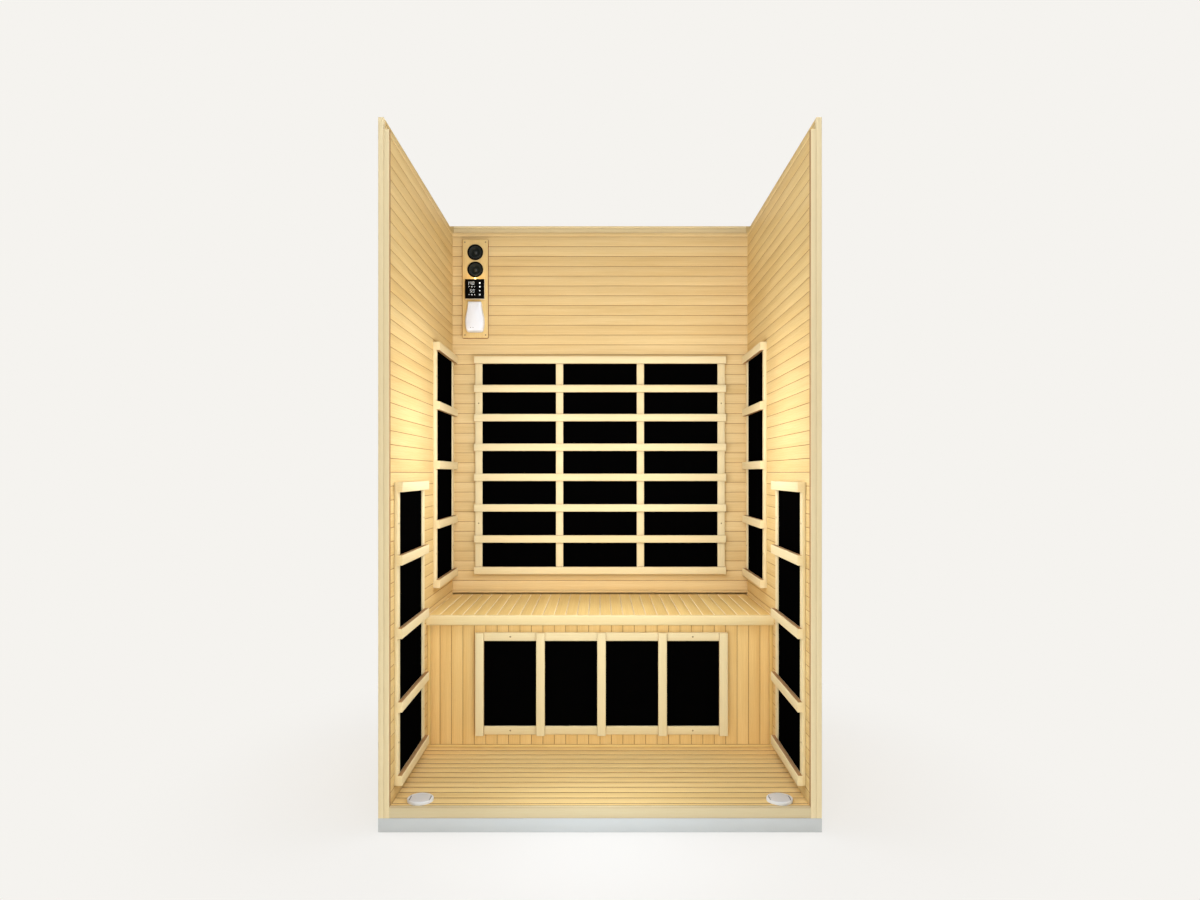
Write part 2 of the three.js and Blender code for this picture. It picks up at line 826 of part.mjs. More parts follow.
addPair(lights, "floor_light_body", cut(lightBody, [well]).translate(...lightPlace), plasticWhite);
addPair(lights, "floor_light_lens", lens.translate(...lightPlace), lensGrey);

// Latches, drawn with X out of the wall, Y towards the back wall from the seam and Z up from the middle
const latches = assembly("latches");
const leverHalf = latchLeverWidth / 2;
const earInner = leverHalf + fitGap;
const earOuter = earInner + latchEarThickness;
const bailInner = earOuter + latchBailSideGap;
const bailOuter = bailInner + latchBailWire;
const pivotY = -latchPivotFromSeam;
const bailPivotY = pivotY - latchBailArm;
const wireHalf = latchBailWire / 2;

// An upright pin about the latch's own Z axis.
function pin(diameter, x, y, halfHeight) {
  return disc(diameter, -halfHeight, halfHeight).translate(x, y, 0);
}

const ears = [-1, 1].flatMap((end) => {
  const low = end > 0 ? earInner : -earOuter;
  const high = end > 0 ? earOuter : -earInner;
  return [
    box([0, pivotY - latchEarRadius, low], [latchPivotOut, pivotY + latchEarRadius, high]),
    disc(2 * latchEarRadius, low, high).translate(latchPivotOut, pivotY, 0),
  ];
});
const latchBase = join([
  box(
    [0, -latchBaseLength, -latchPlateHeight / 2],
    [latchPlateThickness, -latchSeamGap, latchPlateHeight / 2],
  ),
  ...ears,
  pin(latchPinDiameter, latchPivotOut, pivotY, earOuter),
]);

const noseReach = latchBailArm + wireHalf + latchHandleThickness;
const handleOut = latchPivotOut + latchLeverNose;
const latchLever = cut(
  join([
    pin(2 * latchLeverNose, latchPivotOut, pivotY, leverHalf),
    box(
      [latchPivotOut - latchLeverNose, pivotY - noseReach, -leverHalf],
      [handleOut, pivotY, leverHalf],
    ),
    box(
      [handleOut - latchHandleThickness, pivotY - latchLeverLength, -leverHalf],
      [handleOut, pivotY, leverHalf],
    ),
  ]),
  [
    pin(latchPinDiameter + 2 * fitGap, latchPivotOut, pivotY, latchPlateHeight),
    pin(latchBailWire + 2 * fitGap, latchPivotOut, bailPivotY, latchPlateHeight),
  ],
);

const flangeFar = latchKeeperFlangeFromSeam + latchKeeperFlangeThickness;
const hookY = flangeFar + fitGap + wireHalf;
const bailLegs = [-1, 1].map((end) => {
  const low = end > 0 ? bailInner : -bailOuter;
  const high = end > 0 ? bailOuter : -bailInner;
  return box(
    [latchPivotOut - wireHalf, bailPivotY - wireHalf, low],
    [latchPivotOut + wireHalf, hookY + wireHalf, high],
  );
});
const latchBail = join([
  ...bailLegs,
  pin(latchBailWire, latchPivotOut, bailPivotY, bailInner + wireHalf),
  box(
    [latchPivotOut - wireHalf, hookY - wireHalf, -bailInner - wireHalf],
    [latchPivotOut + wireHalf, hookY + wireHalf, bailInner + wireHalf],
  ),
]);

const latchKeeper = join([
  box(
    [0, latchSeamGap, -latchPlateHeight / 2],
    [latchPlateThickness, latchSeamGap + latchKeeperLength, latchPlateHeight / 2],
  ),
  box([0, latchKeeperFlangeFromSeam, -leverHalf], [latchKeeperFlangeOut, flangeFar, leverHalf]),
]);

const latchPlace = [halfWidth, backFaceY, plinthHeight + latchUp];
const latchPieces = { base: latchBase, lever: latchLever, bail: latchBail, keeper: latchKeeper };
for (const [name, geometry] of Object.entries(latchPieces)) {
  addPair(latches, `latch_${name}`, geometry.translate(...latchPlace), latchSteel);
}

export default cabin;
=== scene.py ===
# %% [markdown]
# # An infrared sauna cabin, open at the front
#
# The cabin is a boarded wooden box with a bench, six black heaters behind wooden guards, a small control
# board and two push lights in the floor. The solids come packed as a fixed frame, in metres, so each piece
# below takes its place from the box of the solid that it stands for.

# %% Load the fixed frame
import math

import bmesh
import bpy
from mathutils import Matrix, Vector


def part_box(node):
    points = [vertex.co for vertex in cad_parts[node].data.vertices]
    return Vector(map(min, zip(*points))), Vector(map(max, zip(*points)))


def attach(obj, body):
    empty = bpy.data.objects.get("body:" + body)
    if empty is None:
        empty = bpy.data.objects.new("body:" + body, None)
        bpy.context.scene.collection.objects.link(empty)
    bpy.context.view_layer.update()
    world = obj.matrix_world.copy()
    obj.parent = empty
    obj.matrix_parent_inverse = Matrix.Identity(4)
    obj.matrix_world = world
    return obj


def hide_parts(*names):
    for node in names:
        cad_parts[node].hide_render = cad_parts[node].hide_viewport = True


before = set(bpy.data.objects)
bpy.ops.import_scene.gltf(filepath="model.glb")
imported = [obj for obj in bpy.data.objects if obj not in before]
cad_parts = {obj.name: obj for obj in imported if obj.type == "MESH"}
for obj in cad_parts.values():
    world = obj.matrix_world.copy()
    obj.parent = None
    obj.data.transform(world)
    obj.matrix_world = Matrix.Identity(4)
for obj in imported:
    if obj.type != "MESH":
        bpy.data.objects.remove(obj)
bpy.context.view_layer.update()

MM = 0.001
CABIN = "cabin"
SIDES = ("left", "right")

# %% [markdown]
# ## The camera
#
# The cabin is seen square on, at half its height: the one board joint that looks level in the picture lies
# at eye height. The camera stays level too, so upright edges stay upright, and a small vertical shift frames
# the cabin instead of a tilt. The eye stands so far from the front that the back wall shrinks as much as it
# does in the picture.

# %% Camera
EYE = Vector((0, -2.736, 0.9717))
LENS = 24.81
SENSOR = 36.0
SHIFT_UP = 0.01917

camera_data = bpy.data.cameras.new("camera")
camera_data.sensor_width = SENSOR
camera_data.lens = LENS
camera_data.shift_y = SHIFT_UP
camera = bpy.data.objects.new("camera", camera_data)
camera.location = EYE
camera.rotation_euler = (math.pi / 2, 0, 0)
bpy.context.scene.collection.objects.link(camera)
bpy.context.scene.camera = camera
bpy.context.scene.view_settings.view_transform = "Standard"
print("camera at", tuple(EYE))

# %% [markdown]
# ## Writing nodes as sums
#
# Node trees are easier to read as sums than as boxes and wires. A small class stands for one output of a
# node: adding or multiplying two of them adds a Math node to the tree. Every other node comes from one
# method that takes the node's type, its settings and the values or links of its sockets.

# %% Node expressions
class Output:
    """One output of a node. Sums written with it add Math nodes to its tree."""

    def __init__(self, maker, socket):
        self.maker = maker
        self.socket = socket

    def __add__(self, other):
        return self.maker.sum("ADD", self, other)

    def __radd__(self, other):
        return self.maker.sum("ADD", other, self)

    def __sub__(self, other):
        return self.maker.sum("SUBTRACT", self, other)

    def __rsub__(self, other):
        return self.maker.sum("SUBTRACT", other, self)

    def __mul__(self, other):
        return self.maker.sum("MULTIPLY", self, other)

    def __rmul__(self, other):
        return self.maker.sum("MULTIPLY", other, self)

    def __truediv__(self, other):
        return self.maker.sum("DIVIDE", self, other)

    def __rtruediv__(self, other):
        return self.maker.sum("DIVIDE", other, self)


def pick(sockets, key):
    """The enabled socket with this name, or at this place in the row."""
    enabled = [socket for socket in sockets if socket.enabled]
    if isinstance(key, int):
        return enabled[key]
    return next(socket for socket in enabled if socket.name == key)


class NodeMaker:
    """Adds nodes to one tree."""

    def __init__(self, tree):
        self.tree = tree

    def node(self, kind, settings=None, sockets=None, out=0):
        made = self.tree.nodes.new(kind)
        for name, value in (settings or {}).items():
            if name == "stops":
                self.fill_ramp(made.color_ramp, value)
            else:
                setattr(made, name, value)
        for key, value in (sockets or {}).items():
            entry = pick(made.inputs, key)
            if isinstance(value, Output):
                self.tree.links.new(value.socket, entry)
            else:
                entry.default_value = value
        return Output(self, pick(made.outputs, out)) if made.outputs else None

    def sum(self, operation, *terms):
        return self.node("ShaderNodeMath", {"operation": operation}, dict(enumerate(terms)))

    def fill_ramp(self, ramp, stops):
        while len(ramp.elements) < len(stops):
            ramp.elements.new(1.0)
        for element, (position, colour) in zip(ramp.elements, stops):
            element.position = position
            element.color = (*colour, 1.0)

    def mix(self, factor, first, second):
        settings = {"data_type": "RGBA", "clamp_factor": True}
        return self.node("ShaderNodeMix", settings, {"Factor": factor, "A": first, "B": second})

    def stretch(self, vector, factors):
        settings = {"operation": "MULTIPLY"}
        return self.node("ShaderNodeVectorMath", settings, {0: vector, 1: factors})

    def combine(self, x, y, z):
        return self.node("ShaderNodeCombineXYZ", None, {"X": x, "Y": y, "Z": z})

    def noise(self, vector, scale, detail=2.0, roughness=0.5):
        values = {"Vector": vector, "Scale": scale, "Detail": detail, "Roughness": roughness}
        return self.node("ShaderNodeTexNoise", None, values, out="Fac")

    def bump(self, height, strength, distance):
        values = {"Height": height, "Strength": strength, "Distance": distance}
        return self.node("ShaderNodeBump", None, values)


def opaque(colour):
    """A colour with full alpha, as sockets take it."""
    return (*colour, 1.0)


def new_material(name, **constants):
    """A material with one shader. What stays the same all over is set on the shader's own sockets."""
    material = bpy.data.materials.new(name)
    material.use_nodes = True
    tree = material.node_tree
    tree.nodes.clear()
    maker = NodeMaker(tree)
    shader = maker.node("ShaderNodeBsdfPrincipled")
    maker.node("ShaderNodeOutputMaterial", None, {"Surface": shader})
    maker.shader = shader.socket.node
    for key, value in constants.items():
        maker.shader.inputs[key.replace("_", " ").title().replace("Ior", "IOR")].default_value = value
    return material, maker


def feed(maker, **links):
    """Links outputs to the shader's sockets by name."""
    for key, output in links.items():
        socket = maker.shader.inputs[key.replace("_", " ").title()]
        maker.tree.links.new(output.socket, socket)


print("node expressions ready")

# %% [markdown]
# ## Wood
#
# The cabin is lined with a pale softwood, planed smooth and left bare. Close up it has fine fibres, soft
# streaks a few fingers long and growth rings cut lengthwise, and no two boards have quite the same tone. Its
# faces that aren't planed are painted browner than the planed face: partly the browner tone that sawn wood
# takes as it soaks up more oil, and partly painted shade for the shadow in board joints, in recesses and along
# the sides of bars. On the seat the same mark paints the eased edges pale, as a painted highlight. A picture
# of wood would repeat and would run on from board to board. Instead each board carries its own coordinates,
# in an attribute named grain whose X runs along the board, its own tone, and an attribute on the faces that
# aren't planed that carries the brown or pale mark, so one recipe serves every board and the grain always
# follows its length.

# %% Wood finishes
# Brown for the faces that aren't planed: partly the deeper tone of sawn wood, partly painted shade for the shadow in
# joints, recesses and along the sides of bars.
SAWN_AND_SHADE_BROWN = (0.29, 0.112, 0.022)
FLOOR_SAWN_AND_SHADE_BROWN = (0.2, 0.08, 0.018)


def wood(name, pale, deep, rosy, figure=1.0, sawn_and_shading_colour=SAWN_AND_SHADE_BROWN):
    """Planed softwood from its boards' attributes; unplaned faces get painted shade and sawn tone, on the seat a
    highlight.
    """
    material, maker = new_material(name, specular_ior_level=0.06)
    grain = maker.node("ShaderNodeAttribute", {"attribute_name": "grain"}, out="Vector")
    tone = maker.node("ShaderNodeAttribute", {"attribute_name": "tone"}, out="Fac")
    sawn = maker.node("ShaderNodeAttribute", {"attribute_name": "sawn"}, out="Fac")
    rings = maker.node(
        "ShaderNodeTexWave",
        {"wave_type": "BANDS", "bands_direction": "Y", "wave_profile": "SAW"},
        {"Vector": maker.stretch(grain, (0.4, 1.0, 1.0)), "Scale": 42.0, "Distortion": 5.0, "Detail": 2.0,
         "Detail Scale": 1.4},
        out="Fac",
    )
    streaks = maker.noise(maker.stretch(grain, (3.0, 85.0, 85.0)), 1.0, detail=3.0, roughness=0.55)
    clouds = maker.noise(maker.stretch(grain, (2.2, 14.0, 14.0)), 1.0, detail=2.0)
    fibres = maker.noise(maker.stretch(grain, (40.0, 1500.0, 1500.0)), 1.0, detail=1.0)
    marks = (
        (tone - 0.5) * 0.24
        + (streaks - 0.5) * 0.7
        + (clouds - 0.5) * 0.45
        + (rings - 0.5) * 0.18
        + (fibres - 0.5) * 0.2
    )
    depth = 0.5 + marks * figure
    honey = maker.mix(depth, opaque(pale), opaque(deep))
    blush = maker.sum("FRACT", tone * 7.3) * 0.25
    planed = maker.mix(blush, honey, maker.mix(depth, opaque(rosy), opaque(deep)))
    # Unplaned faces are mixed towards the brown: sawn tone and painted shade in one mark.
    feed(maker, base_color=maker.mix(sawn * (0.85 + streaks * 0.3), planed, opaque(sawn_and_shading_colour)))
    feed(maker, roughness=0.52 + fibres * 0.12 + rings * 0.06 + sawn * 0.15)
    feed(maker, normal=maker.bump(fibres + rings * 0.4, 0.25, 0.0002))
    return material


WALL_WOOD = wood("wall_softwood", (0.823, 0.631, 0.292), (0.631, 0.416, 0.145), (0.793, 0.568, 0.264))
# The back lining's wood is a paler, less saturated copy of the wall wood: painted light for the whiter light on the
# back wall.
BACK_WOOD = wood("back_softwood", (0.815, 0.628, 0.318), (0.618, 0.412, 0.158), (0.79, 0.566, 0.29))
BENCH_WOOD = wood("bench_softwood", (0.873, 0.662, 0.269), (0.679, 0.449, 0.141), (0.842, 0.605, 0.249))
PANEL_WOOD = wood("panel_softwood", (0.92, 0.668, 0.285), (0.715, 0.453, 0.15), (0.887, 0.608, 0.264))
FLOOR_WOOD = wood("floor_softwood", (0.896, 0.675, 0.302), (0.674, 0.448, 0.165), (0.871, 0.625, 0.28),
                  sawn_and_shading_colour=FLOOR_SAWN_AND_SHADE_BROWN)
TRIM_WOOD = wood("trim_softwood", (0.872, 0.759, 0.486), (0.741, 0.579, 0.306), (0.854, 0.717, 0.444), 0.6)
# The rim finish is a paler copy of the wall wood: painted light on the shaded inner face of the rim boards.
RIM_WOOD = wood("rim_softwood", (0.96, 0.80, 0.46), (0.88, 0.66, 0.32), (0.95, 0.76, 0.43), 0.6)
NOSING_WOOD = wood("nosing_softwood", (0.84, 0.71, 0.40), (0.714, 0.54, 0.255), (0.822, 0.67, 0.37), 0.6)
RAIL_WOOD = wood("rail_softwood", (0.705, 0.607, 0.385), (0.599, 0.463, 0.243), (0.69, 0.572, 0.352), 0.6)
GUARD_WOOD = wood("guard_softwood", (0.842, 0.732, 0.45), (0.721, 0.559, 0.279), (0.825, 0.692, 0.411), 0.7)
# The seat's unplaned faces take a pale colour: a painted highlight on the eased seat edges, where the bevels would
# catch the light.
SEAT_WOOD = wood("seat_softwood", (0.873, 0.662, 0.269), (0.679, 0.449, 0.141), (0.842, 0.605, 0.249),
                 sawn_and_shading_colour=(0.95, 0.80, 0.50))
print("wood finishes:", [finish.name for finish in bpy.data.materials if "softwood" in finish.name])

# %% [markdown]
# ## Boards and bars
#
# Nearly all of the cabin is boards: a hundred and fifty in the linings, the floor and the bench, and bars
# in the guards. They could be modelled one by one, or cut as grooves into a slab, but grooves leave the
# grain running across the joints. One Geometry Nodes tree lays them instead. It sweeps an eased rectangle
# along a line to make one board, sets copies side by side, trims the first and the last to the edge, and
# gives every copy its own place in the grain and its own tone.

# %% The tree that lays boards
BOARD_INPUTS = {
    "Length": "NodeSocketFloat",
    "Thickness": "NodeSocketFloat",
    "Width": "NodeSocketFloat",
    "Pitch": "NodeSocketFloat",
    "Growth": "NodeSocketFloat",
    "First": "NodeSocketFloat",
    "Edge": "NodeSocketFloat",
    "Ease": "NodeSocketFloat",
    "Sawn And Shaded Edges": "NodeSocketFloat",
    "Sawn And Shaded Sides": "NodeSocketFloat",
    "Sawn And Shaded Rim": "NodeSocketFloat",
    "Count": "NodeSocketInt",
    "Seed": "NodeSocketInt",
    "Finish": "NodeSocketMaterial",
}


def new_tree(name, inputs):
    """A Geometry Nodes tree with named inputs, its maker and the outputs of those inputs."""
    tree = bpy.data.node_groups.new(name, "GeometryNodeTree")
    tree.interface.new_socket("Geometry", in_out="OUTPUT", socket_type="NodeSocketGeometry")
    for label, kind in inputs.items():
        tree.interface.new_socket(label, in_out="INPUT", socket_type=kind)
    maker = NodeMaker(tree)
    asked = {label: maker.node("NodeGroupInput", out=label) for label in inputs}
    return tree, maker, asked


def store(maker, geometry, name, kind, domain, value):
    settings = {"data_type": kind, "domain": domain}
    return maker.node("GeometryNodeStoreNamedAttribute", settings,
                      {"Geometry": geometry, "Name": name, "Value": value})


def random(maker, kind, low, high, seed):
    return maker.node("FunctionNodeRandomValue", {"data_type": kind}, {"Min": low, "Max": high, "Seed": seed})


def make_board_tree():
    tree, maker, asked = new_tree("boards", BOARD_INPUTS)
    index = maker.node("GeometryNodeInputIndex")
    middle = asked["First"] + index * asked["Pitch"] + asked["Growth"] * index * (index - 1) * 0.5
    low = maker.sum("MAXIMUM", middle - asked["Width"] * 0.5, 0.0)
    high = maker.sum("MINIMUM", middle + asked["Width"] * 0.5, asked["Edge"])
    places = maker.node("GeometryNodePoints", None, {
        "Count": asked["Count"],
        "Position": maker.combine(0.0, (low + high) * 0.5, asked["Thickness"] * 0.5),
    })
    section = maker.node("GeometryNodeCurvePrimitiveQuadrilateral", {"mode": "RECTANGLE"},
                         {"Width": asked["Width"], "Height": asked["Thickness"]})
    eased = maker.node("GeometryNodeFilletCurve", {"mode": "POLY"},
                       {"Curve": section, "Radius": asked["Ease"], "Count": 2, "Limit Radius": True})
    line = maker.node("GeometryNodeCurvePrimitiveLine", {"mode": "POINTS"},
                      {"Start": (0.0, 0.0, 0.0), "End": maker.combine(asked["Length"], 0.0, 0.0)})
    board = maker.node("GeometryNodeCurveToMesh", None,
                       {"Curve": line, "Profile Curve": eased, "Fill Caps": True})
    board = store(maker, board, "grain", "FLOAT_VECTOR", "POINT", maker.node("GeometryNodeInputPosition"))
    normal = maker.node("GeometryNodeInputNormal")
    facing, ending = (
        maker.sum("ABSOLUTE", maker.node("ShaderNodeSeparateXYZ", None, {0: normal}, out=axis)) for axis in "ZX"
    )
    end = maker.sum("GREATER_THAN", ending, 0.5)
    side = maker.sum("LESS_THAN", facing, 0.2) - end
    edge = maker.sum("LESS_THAN", facing, 0.97) - side - end
    # Eased edges and narrow sides get the brown mark: partly sawn tone, partly painted shade in joints and along bars.
    sawn_and_shading_share = edge * asked["Sawn And Shaded Edges"] + side * asked["Sawn And Shaded Sides"]
    board = store(maker, board, "sawn", "FLOAT", "FACE", sawn_and_shading_share)
    laid = maker.node("GeometryNodeInstanceOnPoints", None, {
        "Points": places,
        "Instance": board,
        "Scale": maker.combine(1.0, (high - low) / asked["Width"], 1.0),
    })
    shift = random(maker, "FLOAT_VECTOR", (0.0, 0.0, 0.0), (9.0, 5.0, 3.0), asked["Seed"])
    laid = store(maker, laid, "shift", "FLOAT_VECTOR", "INSTANCE", shift)
    laid = store(maker, laid, "tone", "FLOAT", "INSTANCE", random(maker, "FLOAT", 0.0, 1.0, asked["Seed"] + 71))
    solid = maker.node("GeometryNodeRealizeInstances", None, {"Geometry": laid})
    named = [maker.node("GeometryNodeInputNamedAttribute", {"data_type": "FLOAT_VECTOR"}, {"Name": name})
             for name in ("grain", "shift")]
    moved = maker.node("ShaderNodeVectorMath", {"operation": "ADD"}, {0: named[0], 1: named[1]})
    solid = store(maker, solid, "grain", "FLOAT_VECTOR", "POINT", moved)
    across = maker.node("ShaderNodeSeparateXYZ", None, {0: maker.node("GeometryNodeInputPosition")}, out="Y")
    rim = maker.sum("MAXIMUM", maker.sum("LESS_THAN", across, asked["Ease"]),
                    maker.sum("GREATER_THAN", across, asked["Edge"] - asked["Ease"]))
    marked = maker.node("GeometryNodeInputNamedAttribute", {"data_type": "FLOAT"}, {"Name": "sawn"})
    kept = marked * (1.0 - rim * (1.0 - asked["Sawn And Shaded Rim"]))
    solid = store(maker, solid, "sawn", "FLOAT", "FACE", kept)
    solid = maker.node("GeometryNodeRemoveAttribute", None, {"Geometry": solid, "Name": "shift"})
    solid = maker.node("GeometryNodeSetMaterial", None, {"Geometry": solid, "Material": asked["Finish"]})
    maker.node("NodeGroupOutput", None, {"Geometry": solid})
    return tree


BOARD_TREE = make_board_tree()
print("board tree:", len(BOARD_TREE.nodes), "nodes")

# %% [markdown]
# A tree runs as a modifier. The helper below sets the modifier's inputs by their identifiers, evaluates the
# object once and keeps the plain mesh, because the finished model holds no live trees. Boards are laid in
# their own corner of space, along X and side by side in Y, so they are then turned to run along the asked
# axis and to show the asked face.

# %% Laying boards in a box
AXES = {"x": Vector((1, 0, 0)), "y": Vector((0, 1, 0)), "z": Vector((0, 0, 1))}


def grown(tree, values, start=None):
    """The plain mesh that a Geometry Nodes tree grows, from nothing or from a starting mesh."""
    holder = bpy.data.objects.new("holder", start or bpy.data.meshes.new("holder"))
    bpy.context.scene.collection.objects.link(holder)
    modifier = holder.modifiers.new("tree", "NODES")
    modifier.node_group = tree
    for item in tree.interface.items_tree:
        if item.in_out == "INPUT" and item.name in values:
            modifier[item.identifier] = values[item.name]
    graph = bpy.context.evaluated_depsgraph_get()
    mesh = bpy.data.meshes.new_from_object(holder.evaluated_get(graph), depsgraph=graph)
    holder.modifiers.remove(modifier)
    bpy.data.objects.remove(holder)
    return mesh


def boards(low, high, run, face, finish, first=None, pitch=None, width=None, growth=0.0, count=1, ease=1.0,
           sawn=(0.0, 0.0), rim=1.0, seed=1):
    """Boards that fill the box from low to high. They run along one axis and show one signed face."""
    low, high = Vector(low), Vector(high)
    size = high - low
    stack = next(axis for axis in "xyz" if axis not in (run, face[1]))
    across = AXES[stack]
    outward = AXES[face[1]] * (1 if face[0] == "+" else -1)
    along = across.cross(outward)
    corner = Vector([high[i] if along[i] + outward[i] < 0 else low[i] for i in range(3)])
    edge = abs(size.dot(across))
    values = {
        "Length": abs(size.dot(along)),
        "Thickness": abs(size.dot(outward)),
        "Width": width or edge,
        "Pitch": pitch or edge,
        "Growth": growth,
        "First": edge / 2 if first is None else first,
        "Edge": edge,
        "Ease": ease * MM,
        "Sawn And Shaded Edges": sawn[0],
        "Sawn And Shaded Sides": sawn[1],
        "Sawn And Shaded Rim": rim,
        "Count": count,
        "Seed": seed,
        "Finish": finish,
    }
    mesh = grown(BOARD_TREE, values)
    turn = Matrix((along, across, outward)).transposed().to_4x4()
    mesh.transform(Matrix.Translation(corner) @ turn)
    return mesh


def joined(meshes):
    """One mesh from several, with recalculated normals."""
    work = bmesh.new()
    for mesh in meshes:
        work.from_mesh(mesh)
    for face in work.faces:
        face.material_index = 0
    bmesh.ops.recalc_face_normals(work, faces=work.faces)
    whole = bpy.data.meshes.new("whole")
    work.to_mesh(whole)
    work.free()
    return whole


def finished(name, meshes, replaced=(), body=CABIN, finish=None):
    """A piece of the cabin: one mesh at the origin that rides on a body and stands for solids."""
    mesh = joined(meshes)
    mesh.name = name
    mesh.materials.clear()
    mesh.materials.append(finish or meshes[0].materials[-1])
    piece = bpy.data.objects.new(name, mesh)
    bpy.context.scene.collection.objects.link(piece)
    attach(piece, body)
    if replaced:
        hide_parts(*replaced)
    return piece


print("board helpers ready")

# %% [markdown]
# ## Shapes turned on an axis, and eased solids
#
# Speakers, lamps, lenses and screw heads are round, so they are drawn as a half section and turned about an
# axis. A radius may also follow the angle, which gives a round lens its two straight sides. Small moulded or
# pressed parts whose solid is right already are copied, and their sharp edges are eased so that they catch
# a line of light.

# %% Turning and easing
def shaded(mesh, degrees=35):
    """Smooth shading with crisp edges where faces meet at more than an angle."""
    mesh.shade_smooth()
    mesh.set_sharp_from_angle(angle=math.radians(degrees))
    return mesh


def direction(face):
    """The unit vector that a signed face looks along."""
    return AXES[face[1]] * (1 if face[0] == "+" else -1)


def turned(section, centre, face, finish, sides=64):
    """A closed mesh turned about an axis. The section is pairs of radius and height in millimetres."""
    outward = direction(face)
    across = AXES["y"] if face[1] == "x" else AXES["x"]
    up = outward.cross(across)
    work = bmesh.new()
    rings = []
    for radius, height in section:
        middle = Vector(centre) + outward * height * MM
        if radius == 0:
            rings.append([work.verts.new(middle)])
            continue
        ring = []
        for step in range(sides):
            angle = math.tau * step / sides
            reach = (radius(angle) if callable(radius) else radius) * MM
            ring.append(work.verts.new(middle + across * math.cos(angle) * reach + up * math.sin(angle) * reach))
        rings.append(ring)
    for first, second in zip(rings, rings[1:]):
        for step in range(sides):
            following = step + 1
            corners = [first[step % len(first)], first[following % len(first)],
                       second[following % len(second)], second[step % len(second)]]
            corners = list(dict.fromkeys(corners))
            if len(corners) > 2:
                work.faces.new(corners)
    bmesh.ops.recalc_face_normals(work, faces=work.faces)
    mesh = bpy.data.meshes.new("turned")
    work.to_mesh(mesh)
    work.free()
    mesh.materials.append(finish)
    return shaded(mesh)


def eased_copy(node, ease, finish, degrees=30, segments=2):
    """A merged copy of a solid's mesh with its sharp edges eased."""
    work = bmesh.new()
    work.from_mesh(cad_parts[node].data)
    bmesh.ops.remove_doubles(work, verts=work.verts, dist=1e-6)
    bmesh.ops.dissolve_limit(work, angle_limit=math.radians(1), verts=work.verts, edges=work.edges)
    sharp = [edge for edge in work.edges if edge.is_manifold and edge.calc_face_angle() > math.radians(degrees)]
    bmesh.ops.bevel(work, geom=sharp, offset=ease * MM, segments=segments, profile=0.5, affect="EDGES",
                    clamp_overlap=True)
    mesh = bpy.data.meshes.new(node)
    work.to_mesh(mesh)
    work.free()
    mesh.materials.clear()
    mesh.materials.append(finish)
    return shaded(mesh)


def with_grain(mesh, along, face, shift, tone, sawn=1.0):
    """Gives a mesh that wasn't laid as a board the attributes that wood reads."""
    order = [along] + [axis for axis in "xyz" if axis != along]
    places = [getattr(vertex.co, axis) + shift for vertex in mesh.vertices for axis in order]
    # Faces other than the planed face get the same brown mark: sawn tone and painted shade.
    sawn_and_shading_share = [sawn * (abs(getattr(polygon.normal, face)) < 0.97) for polygon in mesh.polygons]
    mesh.attributes.new("grain", "FLOAT_VECTOR", "POINT").data.foreach_set("vector", places)
    mesh.attributes.new("tone", "FLOAT", "POINT").data.foreach_set("value", [tone] * len(mesh.vertices))
    mesh.attributes.new("sawn", "FLOAT", "FACE").data.foreach_set("value", sawn_and_shading_share)
    return mesh


print("turning and easing ready")

# %% [markdown]
# ## Base, floor and walls
#
# The cabin stands on a low grey plinth of four rails. The floor is laid from side to side behind a paler
# front rail. Each side wall has an outer skin that rises past the roof line, an inner lining and a front
# post. The back wall has two posts, two rails, an outer skin and a lining. All of it is boards or bars in
# the boxes of the solids, and only the places of the joints are given here: how far the first joint lies
# from the edge where the boards start.

# %% Plinth
def laminate(name, colour, shade):
    """Light grey laminate: faint cloudiness, a fine pebbled skin and slight scuffs."""
    material, maker = new_material(name, specular_ior_level=0.35)
    place = maker.node("ShaderNodeTexCoord", out="Object")
    clouds = maker.noise(place, 9.0, detail=3.0)
    pebbles = maker.noise(place, 900.0, detail=1.0)
    scuffs = maker.noise(maker.stretch(place, (18.0, 18.0, 160.0)), 1.0, detail=3.0)
    feed(maker, base_color=maker.mix(clouds * 0.6 + pebbles * 0.25 + scuffs * 0.15, opaque(colour), opaque(shade)))
    feed(maker, roughness=0.42 + scuffs * 0.2)
    feed(maker, normal=maker.bump(pebbles, 0.15, 0.0002))
    return material


PLINTH_GREY = laminate("plinth_laminate", (0.62, 0.635, 0.615), (0.535, 0.546, 0.525))
PLINTH_RUNS = {"plinth_front_rail": "x", "plinth_rear_rail": "x", "left_plinth_rail": "y", "right_plinth_rail": "y"}
for seed, (node, run) in enumerate(PLINTH_RUNS.items()):
    rail = boards(*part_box(node), run, "+z", PLINTH_GREY, ease=1.2, seed=seed)
    finished(node + "_faced", [rail], [node])
print("plinth rails:", len(PLINTH_RUNS))

# %% Boarded faces
BOARD_PITCH = 38 * MM
BOARD_JOINT = 0.2 * MM
BOARD_EASE = 0.8
# Board edges and sides are browned: partly sawn tone, partly painted shade for the shadow in the joints.
BOARD_SAWN_AND_SHADE = (0.8, 1.0)


